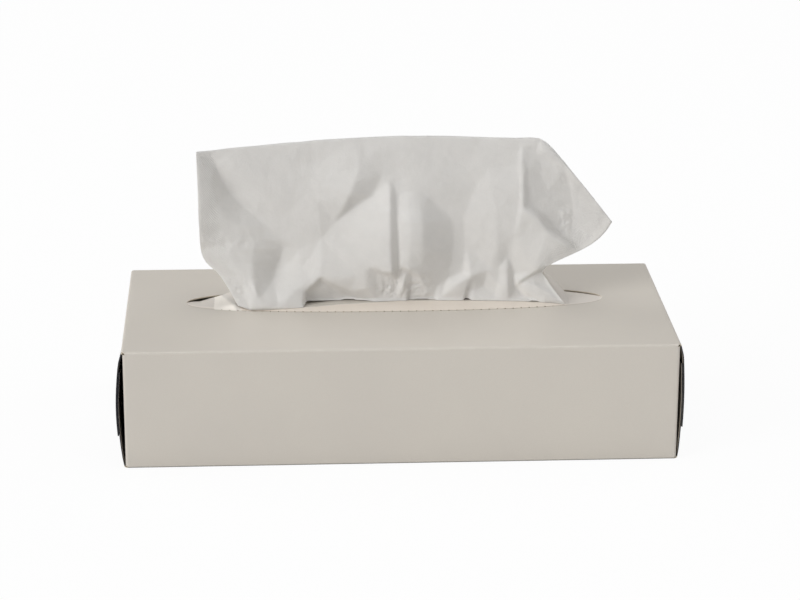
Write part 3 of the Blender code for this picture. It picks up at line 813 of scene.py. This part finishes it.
def make_carton():
    mesh = bmesh.new()
    carton_surface(mesh)
    bmesh.ops.recalc_face_normals(mesh, faces=mesh.faces[:])
    top = max(mesh.faces, key=lambda f: (f.calc_center_median().z, f.calc_area()))
    if top.normal.z < 0:
        bmesh.ops.reverse_faces(mesh, faces=mesh.faces[:])
    carton = as_object(mesh, "printed_carton")
    board = raw_board()
    slots = (printed_card(), navy_card(), board, board, dark_edge(), printed_card("flap_card", True),
             board, board, board)
    for material in slots:
        carton.data.materials.append(material)
    thicken(carton, BOARD, use_even_offset=True, material_offset=INSIDE_OFFSET,
            material_offset_rim=RIM_OFFSET)
    shade_sharp(carton, CARD_SHARP)
    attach(carton, "root")
    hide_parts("carton")


# Stack of interfolded tissues

def stack_outline():
    """Section of the stack: round folds up its back, then down its front."""
    pitch = STACK_HEIGHT / STACK_FOLDS
    half_width = (CARTON_DEPTH - 2 * STACK_SIDE_CLEARANCE) / 2
    outline = []
    for side, order in ((1.0, range(STACK_FOLDS)), (-1.0, reversed(range(STACK_FOLDS)))):
        for number in order:
            inset = FOLD_INSET * (0.5 + 0.5 * noise.noise(Vector((number * 0.7, side * 3.0, 0.5))))
            for step in range(ROUND_STEPS):
                angle = math.pi * ((step + 0.5) / ROUND_STEPS - 0.5)
                y = side * (half_width - pitch / 2 - inset + pitch / 2 * math.cos(angle))
                z = (number + 0.5) * pitch + side * pitch / 2 * math.sin(angle)
                outline.append((y, z))
    return outline


def make_stack():
    """The interfolded stack: round folds front and back, and a top that isn't quite flat."""
    half_length = (CARTON_LENGTH - 2 * STACK_END_CLEARANCE) / 2
    outline = stack_outline()
    mesh = bmesh.new()
    rings = []
    for i in range(STACK_COLUMNS + 1):
        x = half_length * (2 * i / STACK_COLUMNS - 1)
        ring = []
        for y, z in outline:
            sway = abs(FOLD_SWAY * noise.noise(Vector((x * 40, y * 40, z * 300))))
            ring.append(mesh.verts.new((x, y - math.copysign(sway, y), STACK_BASE + z)))
        rings.append(ring)
    last = len(outline) - 1
    top = len(outline) // 2 - 1
    for first, second in zip(rings, rings[1:]):
        bridge(mesh, first, second, skip=(top,))
    for low_index, high_index, is_top in ((0, last, False), (top, top + 1, True)):
        lines = []
        for ring in rings:
            start, end = ring[high_index].co.copy(), ring[low_index].co.copy()
            line = [ring[high_index]]
            for k in range(1, STACK_ROWS):
                place = start.lerp(end, k / STACK_ROWS)
                if is_top:
                    place.z -= TOP_HOLLOW * abs(noise.noise(Vector((place.x * 28, place.y * 28, 1.7))))
                line.append(mesh.verts.new(place))
            line.append(ring[low_index])
            lines.append(line)
        for first, second in zip(lines, lines[1:]):
            bridge(mesh, first, second)
    bmesh.ops.holes_fill(mesh, edges=[e for e in mesh.edges if e.is_boundary], sides=0)
    bmesh.ops.recalc_face_normals(mesh, faces=mesh.faces[:])
    stack = as_object(mesh, "interfolded_stack")
    shade_sharp(stack, STACK_SHARP)
    stack.data.materials.append(tissue_paper("stacked_tissue", False))
    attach(stack, "root")
    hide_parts("tissue_stack")


# Raised tissue

# Guide lines of the front half, left to right, as pixels of the photograph: across and down for
# seven rows from the doubled top edge to the lip where the paper turns into the slot
GUIDES = (
    ((196, 197, 198, 199, 203, 221, 238), (152, 176, 200, 226, 257, 277, 306)),
    ((212, 213, 214, 215, 222, 239, 249), (150.5, 175, 200, 228, 256, 284, 309.6)),
    ((232, 236, 243, 250, 255, 260, 264), (148, 174, 200, 228, 256, 282, 309)),
    ((255, 258, 266, 278, 279, 276, 284), (146, 172, 200, 228, 254, 280, 308)),
    ((285, 288, 292, 297, 300, 302, 303), (143, 172, 200, 228, 256, 282, 306)),
    ((300, 303, 306, 307, 308, 307.5, 307), (142, 171, 199, 226, 253, 278, 300)),
    ((320, 322, 325, 322, 319, 318, 320), (140, 170, 198, 226, 252, 276, 298)),
    ((355, 356, 357, 355, 353, 353, 354), (138, 168, 196, 224, 250, 276, 299)),
    ((385, 386, 388, 389, 389, 389, 388), (136.5, 165, 192, 222, 250, 275, 300)),
    ((400, 398, 396, 396, 397, 397, 398), (136, 165, 192, 222, 250, 275, 300)),
    ((415, 416, 417, 418, 417, 414, 411), (136, 165, 194, 222, 250, 275, 299)),
    ((445, 446, 451, 453, 452, 445, 439), (136, 165, 194, 222, 250, 275, 299)),
    ((485, 485, 487, 487, 484, 478, 472), (137.3, 165, 194, 222, 250, 275, 299)),
    ((515, 516, 518, 517, 508, 504, 505), (138, 161, 191, 218, 246, 272, 300)),
    ((535, 539, 543, 541, 530, 521, 525), (138, 164, 194, 221, 248, 275, 300)),
    ((545, 556, 562, 558, 541, 528, 537), (143.5, 168, 194, 222, 252, 278, 301)),
    ((578, 578, 577, 570, 546, 536, 548), (179, 197, 215, 236, 260, 280, 302)),
    ((612, 606, 597, 583, 545, 548, 565), (222, 231, 240, 249, 268, 281, 303.6)),
)

# Pixels of the lip, where the paper meets the strip or the shelf, and the small dark gaps where it
# stands off: from, to, and height in pixels
LIP_LINE = ((238, 305.5), (243, 307.2), (251, 310.2), (264, 309.8), (284, 308.6), (303, 307.3),
            (306.3, 300.7), (340, 300), (355, 299.6), (366, 300.2), (376, 301.5), (388, 301),
            (400, 300.4), (406, 300.3), (409, 299.1), (434, 299.1), (438, 300.2), (463, 300.2),
            (465, 299.3), (469, 299.3), (471, 300.2), (500, 300.6), (526, 301), (542, 301.9),
            (552, 302.5), (566, 304))
LIP_GAPS = ((341, 356, 0.9), (414, 430, 0.5), (462.5, 471.5, 1.5), (529, 540, 0.9))
LIP_RUN = 0.16
LIP_CLEARANCE = 0.0002
LIP_REACH = 0.5
ROW_CROWDING = 1.3
LIP_TRIES = 8
RAY_FALL = 0.37
GAP_RUN = 2.5

# Back half: how its lip lies behind the shelf's end, how its lower right corner is drawn in, in pixels,
# and how far it stays behind the front half, in millimetres
BACK_LIP_SHARE = 0.86
BACK_LIP_GAP = 0.0048
BACK_LIP_Z = 0.0545
BACK_THROAT_GAP = 0.0045
CORNER_DRAW = 15.0
CORNER_X = 470.0
CORNER_Y = 256.0
CORNER_RUN_X = 90.0
CORNER_RUN_Y = 20.0
LAYER_LEAST = 1.4
LAYER_START = 6.0
BACK_CRUMPLE = 1.2
BACK_LIFT = 0.3
FRONT_LIFT = 0.2
TOP_DROP = 0.0012

# Throat: shares of its run over the shelf, to the hem and along it, and clearances
OVER_SHARE = 0.3
HEM_SHARE = 0.85
DIVE_SPAN = 0.55
HEM_SPAN = 0.15
PULL_SHARE = 0.4
THROAT_PULL = 0.10
THROAT_DRAW = 0.95
HEM_Y = 0.0165
HEM_RUN = 0.0035
HEM_DROP = 0.0015
EDGE_CLEARANCE = 0.0012
EDGE_LEAST = 0.0004
OVER_CLEARANCE = 0.0006
RIPPLE = 0.0010
GATHER_WAVES = 46.0
GATHER_DRIFT, DRIFT_WAVES = 2.0, 9.0

# Fold corners of the front half: pixels of the photograph and millimetres back. Each list is one
# fold, ridge or valley, and the paper runs straight from one fold to the next
FOLDS = (
    # outline: left edge, lower left edge, top edge, drooping edge, its lower side, lobe's lip
    ((196, 152, 4.4), (197, 176, 2.6), (198.5, 200, 1.6), (199.5, 226, 2), (201, 250, 5.4)),
    ((201, 250, 5.4), (208, 264, 5.8), (222, 276, 4.2), (230, 288, 1.4), (238, 306, -1.4)),
    ((196, 152, 4.4), (232, 148, 5.2), (285, 143, 5), (320, 140, 5), (355, 138, 5), (400, 136, 5),
     (445, 136, 5), (485, 137, 5), (521, 138, 5), (540, 138.5, 5), (565, 163, 4.6), (578, 178, 4.6),
     (600, 205, 3.8), (612, 222, 4)),
    ((612, 222, 4), (597, 240, 5.6), (583, 249, 6), (576, 252, 4.6), (555, 263, 2.6), (535, 272, 2),
     (518, 282, 2.6)),
    ((238, 306, -1.4), (251, 310, -4.8), (264, 309.5, -4.6), (284, 308.5, -3.6), (303, 307, -2.2)),
    # light rim along the lower left outline
    ((206, 247, 4.8), (213, 253, 4.2), (224, 262, 3.2), (238, 276, 1), (252, 297, -2.6)),
    ((213, 247, 4.4), (221, 253, 3.8), (236, 264, 2.6), (250, 281, 0.2), (260, 298, -2.4)),
    # the long diagonal valley
    ((211, 152, 6), (214, 163, 7.6), (221, 180, 9.4), (230, 193, 10), (241, 204, 10.2), (255, 216, 9.8),
     (268, 228, 9.2), (282, 241, 8.6)),
    ((211, 184, 4.6), (216, 204, 4.2), (226, 219, 4.8)),
    # crumpled patch below it
    ((203, 240, 3), (210, 236, 3.6), (222, 230, 4.4), (240, 226, 6.2), (257, 227, 8)),
    ((214, 243, 3.6), (220, 243, 4), (238, 240, 5.2), (250, 238, 6.8)),
    ((226, 252, 3.6), (240, 250, 4.6)),
    # dark pocket: soft ridge on its left, sharp valley on its right
    ((258, 238, 7.6), (254, 250, 5.8), (253, 263, 4.2), (254, 280, 1), (256, 298, -2.6)),
    ((282, 241, 8.6), (283, 247, 9.6), (280, 259, 10.2), (275, 271, 9.2), (273, 279, 7),
     (276, 291, 2.4), (278, 303, -2)),
    # lobe over the strip, and the arch that its hem makes over the half behind
    ((303, 307, -1.8), (304.8, 292, 1.4), (313, 284, 2.4), (320.5, 276.5, 2.8), (335, 283.5, 2.4),
     (350, 291.5, 2.8), (361, 299.5, 5.4)),
    ((306.4, 299, 5.6), (307.2, 293.6, 4.6), (315, 287, 4.8), (321, 280.4, 5.2), (333, 287.2, 6),
     (345.5, 294, 6.8), (352, 298.5, 7.2)),
    ((312, 300, 5.6), (320, 300, 6.6), (333, 300, 7.4), (345, 300, 7.6)),
    ((290, 262, 9.2), (288, 280, 5), (289, 297, -1.6)),
    ((300, 248, 8.8), (301, 267, 7), (302, 284, 2.6)),
    # left plain and the thin crease that runs up from the dark facet
    ((232, 168, 6.4), (262, 188, 7.6), (290, 214, 8.4), (300, 235, 8.6)),
    ((262, 160, 5.8), (300, 168, 6.6), (325, 160, 5.8)),
    ((376, 150, 5), (368, 158, 4.8), (360, 169, 3.8), (355, 181, 3), (350.5, 194, 2.8), (346, 205, 4.4)),
    ((330, 172, 5.2), (321, 186, 5.8), (318, 200, 6.8)),
    ((384, 162, 5.6), (382, 176, 6.2)),
    # bright triangle: valley along its upper left side, sharp ridge on its right, free lower edge
    ((388.5, 183, 5.4), (372, 195, 7.2), (350, 207.5, 8), (335, 222, 8.4), (322, 238, 8.4),
     (312, 254, 7.8)),
    ((388.5, 183, 5.4), (389.5, 196, 2.4), (390, 212, 0.4), (390.5, 240, -1.2), (391, 262, -1.6),
     (391.5, 273, -1.4)),
    ((366, 267, 2), (380, 270.5, 0.2), (391.5, 273, -1.4)),
    ((380, 273.4, 3), (391.5, 276.6, 3.6)),
    ((356, 276, 2.8), (367, 288, 1.6), (373, 297, 3.8)),
    ((377, 283, 3.4), (377, 297, 4.8)),
    # valley between the triangle and the column
    ((393, 184, 5.8), (396, 197, 4.8), (397.5, 215, 3.2), (398, 240, 2.2), (398.5, 262, 2.2),
     (397.5, 280, 4.6), (398, 299, 5.6)),
    ((400, 150, 5.2), (404, 172, 5.6), (430, 178, 5.6)),
    # bright column, its free lower edge, and the dark facet right of it
    ((400, 206, 3.4), (400, 222, 1.4), (400.5, 245, 0.6), (401, 266, 0.6)),
    ((409, 204, 2.6), (410, 222, -0.4), (410, 245, -1), (409, 269.5, -0.4), (409, 273, 2.8),
     (412, 286, 4.6)),
    ((420, 203, 3), (422, 222, -0.2), (423, 245, -0.6), (421, 266, 0.8), (423, 282, 2.6),
     (428, 293, 4.2)),
    ((401, 266, 0.6), (409, 269.5, -0.4), (417, 274, 0.6)),
    ((402, 269.5, 2.8), (409, 273, 2.8), (417, 277.5, 3.4)),
    ((404.5, 276, 2), (403, 288, 2.8), (400.5, 298, 5.2)),
    ((399, 196, 5.2), (404, 192, 5.2), (411, 190.5, 5), (420, 191, 5.2), (430, 197, 5.8),
     (440, 208.5, 6.8), (451.5, 220.5, 7.2), (453, 240, 7.2), (452, 262, 7), (447, 280, 6.4),
     (440, 297, 5.8)),
    # plain right of it
    ((464, 216, 7.8), (466, 248, 7.8), (463, 272, 7)),
    ((445, 152, 5.2), (462, 166, 6.2), (477, 182, 6.8), (488, 170, 5.8), (500, 152, 5.2)),
    ((497, 212, 4.4), (497, 248, 4.4), (490, 266, 5)),
    ((444, 295, 5), (456, 284, 3.2), (470, 276, 3), (487, 271, 4.6)),
    ((462, 294, 4.6), (484, 286, 6.6), (495, 296, 6.2)),
    # thin ridge, and the line that runs on from it beside the bright triangle on the right
    ((519.5, 150, 5.2), (522, 154, 4.2), (523, 180, 3), (523.5, 197, 2.8), (523, 209, 2.8),
     (514, 237, 5), (507.5, 256, 6)),
    ((518.5, 162, 5), (519.5, 185, 4), (518.5, 207, 4), (508, 237, 5.2)),
    ((527, 168, 5), (527.5, 181, 5.4), (528, 191, 5.8)),
    ((523, 209, 2.8), (538, 217, 2.8), (548, 230, 2.6), (557, 237, 2.8), (568, 243, 3.4),
     (576, 252, 4.6)),
    ((507.5, 256, 6), (506.5, 270, 3.6), (507.5, 285, 3), (508.5, 299, 3.4)),
    ((511, 262, 6), (513.5, 274, 6.2), (515, 287, 6.4), (517, 299, 5.4)),
    ((499, 268, 5.2), (498, 284, 5), (498, 298, 4.6)),
    # hollow of the turned corner
    ((527.5, 200, 5.8), (531, 206, 6.6), (541.5, 213.6, 7.6), (551.5, 227, 8.4), (560, 234, 8.6),
     (570, 240, 7.6)),
    ((541, 166.5, 6.2), (563, 168, 5.8)),
    ((563, 168, 5.8), (569, 181, 8.6), (572, 196, 10.2), (573, 210, 10.8), (572, 226, 10),
     (570, 240, 7.6)),
    ((540, 174, 7), (548, 190, 8)),
    ((522, 148, 4.8), (536, 153, 6), (548, 160, 6.2), (557, 163.5, 5.6)),
    ((541, 150.5, 4.6), (552, 155, 4), (562, 162, 4.2)),
    ((566, 171, 6.4), (575, 182, 6.8), (585, 191, 6)),
    ((578, 197, 9.2), (582, 212, 9.2), (583, 230, 8.4)),
    ((559, 209, 9.2), (565, 214, 8.6), (569, 222, 9.6)),
    ((561, 219, 9.4), (566, 230, 8.4)),
    ((597, 213, 5.2), (597, 227, 5.8)),
    # lobe like a leaf over the right end of the strip
    ((519.5, 283.6, 3.8), (533, 274.8, 4.8), (541.5, 271, 5), (547, 281, 3.4), (554, 291, 1.6),
     (562, 303, -1.4)),
    ((519.5, 283.6, 3.8), (524, 291.5, 3.2), (535, 298, 2), (548, 301.6, 0.2), (562, 303, -1.4)),
    ((528, 283.5, 2.6), (541, 288.5, 1.2), (553, 297, -0.6)),
    ((531, 281, 3.8), (544, 286, 2.6), (554, 294, 0.6)),
    ((517, 287, 6.2), (522.5, 293.5, 6), (532, 300, 4.4)),
)

RELIEF_LEFT, RELIEF_TOP, RELIEF_RIGHT, RELIEF_BOTTOM = 185, 125, 625, 318
RELIEF_STEP = 0.5
SHARP_BLUR = 1.0
SHARP_SHARE = 0.66
SOFT_BLUR = 3.0
SOFT_SHARE = 0.34
BACK_BLUR = 13.0

TISSUE_COLUMNS = 323
FRONT_ROWS = 112
BACK_ROWS = 20
THROAT_SHARES = (0.02, 0.12, 0.3, 0.42, 0.54, 0.66, 0.78, 0.86, 0.93, 1.0)
LAYER_GAP = 5.5
LAYER_SHARES = (0.0, 0.5, 0.7, 0.85, 0.95, 1.0, 0.75)


def blurred(field, radius):
    """The field with each value spread over its neighbours, radius in pixels of the photograph."""
    sigma = radius / RELIEF_STEP
    reach = int(3 * sigma) + 1
    kernel = np.exp(-0.5 * (np.arange(-reach, reach + 1) / sigma) ** 2)
    kernel /= kernel.sum()
    for axis in (0, 1):
        pad = [(0, 0), (0, 0)]
        pad[axis] = (reach, reach)
        wide = np.pad(field, pad, mode="edge")
        field = np.apply_along_axis(lambda line: np.convolve(line, kernel, mode="valid"), axis, wide)
    return field


def facet_field():
    """Depth over the photograph's frame, in millimetres: flat facets between the folds."""
    points, depths, edges = [], [], []
    index = {}
    for fold in FOLDS:
        previous = None
        for px, py, depth in fold:
            key = (px, py)
            if key not in index:
                index[key] = len(points)
                points.append(Vector(key))
                depths.append(depth)
            if previous is not None:
                edges.append((previous, index[key]))
            previous = index[key]
    frame_corners = ((RELIEF_LEFT, RELIEF_TOP), (RELIEF_RIGHT, RELIEF_TOP), (RELIEF_RIGHT, RELIEF_BOTTOM),
                     (RELIEF_LEFT, RELIEF_BOTTOM))
    for corner in frame_corners:
        nearest = min(range(len(points)), key=lambda i: (points[i] - Vector(corner)).length)
        points.append(Vector(corner))
        depths.append(depths[nearest])
    coords, _, faces, sources, _, _ = delaunay_2d_cdt(points, edges, [], 0, 1e-4)
    values = []
    for place, origin in zip(coords, sources):
        if origin:
            values.append(float(np.mean([depths[i] for i in origin])))
        else:
            nearest = sorted(range(len(points)), key=lambda i: (points[i] - place).length)[:2]
            values.append(float(np.mean([depths[i] for i in nearest])))
    xs = np.arange(RELIEF_LEFT, RELIEF_RIGHT + RELIEF_STEP, RELIEF_STEP)
    ys = np.arange(RELIEF_TOP, RELIEF_BOTTOM + RELIEF_STEP, RELIEF_STEP)
    field = np.full((len(ys), len(xs)), np.nan)
    for face in faces:
        (ax, ay), (bx, by), (cx, cy) = (tuple(coords[i]) for i in face)
        area = (bx - ax) * (cy - ay) - (cx - ax) * (by - ay)
        if abs(area) < 1e-9:
            continue
        i0, i1 = np.searchsorted(xs, (min(ax, bx, cx), max(ax, bx, cx)))
        j0, j1 = np.searchsorted(ys, (min(ay, by, cy), max(ay, by, cy)))
        gx, gy = np.meshgrid(xs[i0:i1 + 1], ys[j0:j1 + 1])
        wb = ((gx - ax) * (cy - ay) - (cx - ax) * (gy - ay)) / area
        wc = ((bx - ax) * (gy - ay) - (gx - ax) * (by - ay)) / area
        wa = 1.0 - wb - wc
        inside = (wa >= -1e-6) & (wb >= -1e-6) & (wc >= -1e-6)
        depth = wa * values[face[0]] + wb * values[face[1]] + wc * values[face[2]]
        field[j0:j1 + 1, i0:i1 + 1][inside] = depth[inside]
    return np.where(np.isnan(field), np.nanmean(field), field)


def sampled(field, px, py):
    """The field's value at pixels, between its grid points."""
    gx = np.clip((px - RELIEF_LEFT) / RELIEF_STEP, 0, field.shape[1] - 1.001)
    gy = np.clip((py - RELIEF_TOP) / RELIEF_STEP, 0, field.shape[0] - 1.001)
    ix, iy = gx.astype(int), gy.astype(int)
    fx, fy = gx - ix, gy - iy
    upper = field[iy, ix] * (1 - fx) + field[iy, ix + 1] * fx
    lower = field[iy + 1, ix] * (1 - fx) + field[iy + 1, ix + 1] * fx
    return upper * (1 - fy) + lower * fy


def spline_rows(values, count, shares=None):
    """Values along the first axis, on a smooth curve through them, at count even places or at shares."""
    values = np.asarray(values, float)
    last = len(values) - 1
    padded = np.concatenate([2 * values[:1] - values[1:2], values, 2 * values[-1:] - values[-2:-1]])
    places = np.linspace(0, last, count) if shares is None else shares * last
    cell = np.minimum(places.astype(int), last - 1)
    t = (places - cell).reshape((-1,) + (1,) * (values.ndim - 1))
    p0, p1, p2, p3 = (padded[cell + k] for k in range(4))
    return 0.5 * (2 * p1 + (p2 - p0) * t + (2 * p0 - 5 * p1 + 4 * p2 - p3) * t**2
                  + (3 * p1 - p0 - 3 * p2 + p3) * t**3)


# Places where fingers have crushed the paper: centre and reach in pixels of the photograph, strength
CRUSHED = ((387, 286, 10, 12, 1.0), (415, 286, 15, 12, 1.0), (566, 220, 9, 16, 0.8),
           (234, 246, 20, 14, 0.45), (238, 290, 10, 14, 0.7))
# Crumples: size of their noise, in waves to a pixel, and height in millimetres
SWELL, CREASE, GRAIN = (0.030, 0.75), (0.075, 0.26), (0.30, 0.05)
WRINKLES = ((0.10, 1.4), (0.22, 0.9))
CRUSHED_LEAST = 0.02


def crumple(px, py, seed):
    """Fine crumples in millimetres: creases of several sizes, from folded noise."""
    flat_x, flat_y = px.ravel(), py.ravel()
    values = np.zeros(len(flat_x))
    for i in range(len(values)):
        place = Vector((flat_x[i], flat_y[i], seed))
        low = noise.noise(place * SWELL[0])
        mid = abs(noise.noise(place * CREASE[0] + Vector((7, 3, 1))))
        fine = noise.noise(place * GRAIN[0] + Vector((1, 9, 5)))
        crushed = 0.0
        for cx, cy, rx, ry, strength in CRUSHED:
            crushed += strength * math.exp(-(((flat_x[i] - cx) / rx) ** 2) - ((flat_y[i] - cy) / ry) ** 2)
        wrinkle = 0.0
        if crushed > CRUSHED_LEAST:
            wrinkle = sum(height * abs(noise.noise(place * waves)) for waves, height in WRINKLES)
        values[i] = SWELL[1] * low + CREASE[1] * mid + GRAIN[1] * fine + min(crushed, 1.0) * wrinkle
    return values.reshape(px.shape)


def row_shares(rows):
    """Places of the rows from the top edge to the lip, crowded towards the lip."""
    return 1.0 - (1.0 - np.linspace(0, 1, rows + 1)) ** ROW_CROWDING


def near_lip(rows):
    return smoothstep((row_shares(rows) - 1.0 + LIP_RUN) / LIP_RUN)[:, None]


def guide_grid(rows):
    """Pixels of the tissue, from the top edge to the lip."""
    fields = (spline_rows([g[k] for g in GUIDES], TISSUE_COLUMNS + 1).T for k in (0, 1))
    px, py = (spline_rows(field, rows + 1, row_shares(rows)) for field in fields)
    lip = np.interp(px[-1], *zip(*LIP_LINE))
    return px, py + (lip - py[-1]) * near_lip(rows)


def gap_heights(px):
    """How far the lip stands off at each of its pixels, in pixels."""
    return sum(height * smoothstep((px - left) / GAP_RUN) * smoothstep((right - px) / GAP_RUN)
               for left, right, height in LIP_GAPS)


def dive_edge(x):
    """Where the flap's shelf ends, for the part of the slot that has one."""
    x = min(max(x, LEFT_RIDGE_X + RIDGE_RUN), RIGHT_RIDGE_X - RIGHT_RIDGE_SLANT)
    return front_arc(x) + dive_start(x)


def lip_depth(px, py):
    """Depth at which a pixel's ray comes down onto the flap, in millimetres, no farther than its shelf."""
    y = 0.0
    for _ in range(LIP_TRIES):
        place = at_depth(np.array(px), np.array(py), np.array(y))
        y += (place[2] - flap_top(float(place[0]), y) - LIP_CLEARANCE) / RAY_FALL
    return min(y, dive_edge(float(place[0])) - LIP_CLEARANCE) / MM


def throat(lip, layer_back, sway_seed):
    """Rows from the lip over the flap's shelf, down behind it and back along the stack, gathered as
    they go."""
    hem_z = STACK_TOP + SEAT_GAP + SHEET
    hem_y = HEM_Y + layer_back
    lip_x, lip_y, lip_z = lip.T
    ends = np.array([dive_edge(x * THROAT_DRAW) for x in lip_x])
    edge = np.maximum(ends + EDGE_CLEARANCE + layer_back, lip_y + EDGE_LEAST)
    tops = np.array([flap_top(float(x), float(y)) for x, y in zip(lip_x * THROAT_DRAW, ends)])
    over = np.minimum(tops + OVER_CLEARANCE, lip_z)
    gather = np.linspace(-1, 1, len(lip))
    folds = 1 + np.sin(gather * GATHER_WAVES + sway_seed + GATHER_DRIFT * np.sin(gather * DRIFT_WAVES))
    rows = []
    for share in THROAT_SHARES:
        if share <= OVER_SHARE:
            t = share / OVER_SHARE
            y = lip_y + (edge - lip_y) * t
            z = lip_z + (over - lip_z) * t
        elif share < HEM_SHARE:
            t = (share - OVER_SHARE) / DIVE_SPAN
            y = edge + (hem_y - edge) * t
            z = over + (hem_z + HEM_DROP - over) * t
        else:
            turn = math.sin((share - HEM_SHARE) / HEM_SPAN * math.pi / 2)
            y = np.full(len(lip), hem_y + HEM_RUN * turn)
            z = np.full(len(lip), hem_z + HEM_DROP * (1 - turn))
        pull = 1.0 - THROAT_PULL * smoothstep(share / PULL_SHARE)
        ripple = RIPPLE * smoothstep((share - OVER_SHARE) / OVER_SHARE) * folds
        rows.append(np.stack([lip_x * pull, y + ripple, z], axis=1))
    return rows


def front_half(relief):
    """Rows of the front half, from the doubled top edge to the lip on the flap."""
    px, py = guide_grid(FRONT_ROWS)
    depth = sampled(relief, px, py) + crumple(px, py, 0.5) - FRONT_LIFT
    lips = np.array([lip_depth(x, y) for x, y in zip(px[-1], py[-1])])
    lips = np.minimum(lips, depth[-1] + LIP_REACH)
    depth += (lips - depth[-1]) * near_lip(FRONT_ROWS)
    py -= gap_heights(px[-1]) * near_lip(FRONT_ROWS)
    return at_depth(px, py, depth * MM)


def back_half(relief, calm, top):
    """Rows of the back half: a calmer copy of the front, a few millimetres behind it, drawn in at its
    lower right and down to its own lip behind the shelf."""
    px, py = guide_grid(BACK_ROWS)
    low, right = (py - CORNER_Y) / CORNER_RUN_Y, (px - CORNER_X) / CORNER_RUN_X
    px -= CORNER_DRAW * smoothstep(low) * smoothstep(right)
    share = spline_rows(np.array(LAYER_SHARES), BACK_ROWS + 1)[:, None]
    depth = sampled(calm, px, py) + share * LAYER_GAP + BACK_CRUMPLE * crumple(px + 40, py, 3.5) - BACK_LIFT
    depth = np.maximum(depth, sampled(relief, px, py) + np.minimum(share * LAYER_START, LAYER_LEAST))
    back = at_depth(px, py, depth * MM)
    back[0] = top
    back[1, :, 2] = np.maximum(back[1, :, 2], top[:, 2] - TOP_DROP)
    lip_x = back[-1, :, 0]
    lip_y = [dive_edge(x) + BACK_LIP_GAP for x in lip_x]
    target = np.stack([lip_x * BACK_LIP_SHARE, lip_y, np.full(len(lip_x), BACK_LIP_Z)], axis=1)
    fall = smoothstep((row_shares(BACK_ROWS) - 0.5) / 0.5)[:, None, None]
    return back + (target - back[-1]) * fall


def make_raised_tissue():
    facets = facet_field()
    relief = SHARP_SHARE * blurred(facets, SHARP_BLUR) + SOFT_SHARE * blurred(facets, SOFT_BLUR)
    front = front_half(relief)
    back = back_half(relief, blurred(facets, BACK_BLUR), front[0])
    rows = throat(front[-1], 0.0, 0.3)[::-1] + list(front[::-1]) + list(back[1:])
    rows += throat(back[-1], BACK_THROAT_GAP, 1.9)
    mesh = bmesh.new()
    uv = mesh.loops.layers.uv.new("sheet")
    lines = [[mesh.verts.new(place) for place in row] for row in rows]
    row_place = np.linspace(0, FLAT_LENGTH, len(lines))
    for j in range(len(lines) - 1):
        for i in range(TISSUE_COLUMNS):
            corners = ((j, i), (j, i + 1), (j + 1, i + 1), (j + 1, i))
            face = mesh.faces.new([lines[a][b] for a, b in corners])
            for loop, (a, b) in zip(face.loops, corners):
                loop[uv].uv = (FLAT_WIDTH * b / TISSUE_COLUMNS, row_place[a])
    bmesh.ops.recalc_face_normals(mesh, faces=mesh.faces[:])
    tissue = as_object(mesh, "pulled_tissue")
    tissue.data.materials.append(tissue_paper("raised_tissue_paper", True))
    thicken(tissue, SHEET)
    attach(tissue, "root")
    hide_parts("raised_tissue")


# Stage and light

FLOOR_HALF = 6.0
FLOOR_GLOW = 0.94
WORLD_STRENGTH = 0.325
LIGHT_AIM = (0.0, 0.0, 0.06)
# Square lights: name, place, side and power
LIGHTS = (
    ("key", (-5.6, -3.6, 2.8), 3.4, 270.0),
    ("over", (0.1, 0.1, 2.2), 1.6, 14.0),
    ("rear left", (-1.3, 0.75, 1.1), 0.7, 4.2),
    ("rear right", (1.6, 0.9, 1.1), 0.7, 4.4),
    ("fill", (1.3, -1.0, 0.8), 0.6, 2.2),
)


def make_floor():
    """Pale floor that looks almost white to the camera and takes soft shadows."""
    data = bpy.data.meshes.new("floor")
    corners = [(x * FLOOR_HALF, y * FLOOR_HALF, 0) for x, y in ((-1, -1), (1, -1), (1, 1), (-1, 1))]
    data.from_pydata(corners, [], [(0, 1, 2, 3)])
    floor = add_object("floor", data)
    n = Nodes("pale_floor")
    data.materials.append(n.paint((244, 244, 244), 0.9, 0.1))
    glow = n.add("ShaderNodeEmission", {"Color": WHITE, "Strength": 1.0})
    n.blend(n.times(n.seen(), FLOOR_GLOW), glow)


def make_world():
    """Grey light all round, and plain white where the camera sees past the floor."""
    n = Nodes("studio", "worlds", "Background")
    n.put(n.shader.inputs["Color"], WHITE)
    n.put(n.shader.inputs["Strength"], WORLD_STRENGTH)
    n.blend(n.seen(), n.add("ShaderNodeBackground", {"Color": WHITE, "Strength": 1.0}))
    bpy.context.scene.world = n.owner


def make_lights():
    for name, place, side, power in LIGHTS:
        data = bpy.data.lights.new(name, "AREA")
        data.shape = "RECTANGLE"
        data.size = data.size_y = side
        data.energy = power
        light = add_object(name, data)
        light.location = place
        aim = Vector(LIGHT_AIM) - Vector(place)
        light.rotation_euler = aim.to_track_quat("-Z", "Y").to_euler()


make_camera()
make_floor()
make_world()
make_lights()
make_carton()
make_stack()
make_raised_tissue()
bpy.context.scene.view_settings.view_transform = "Standard"
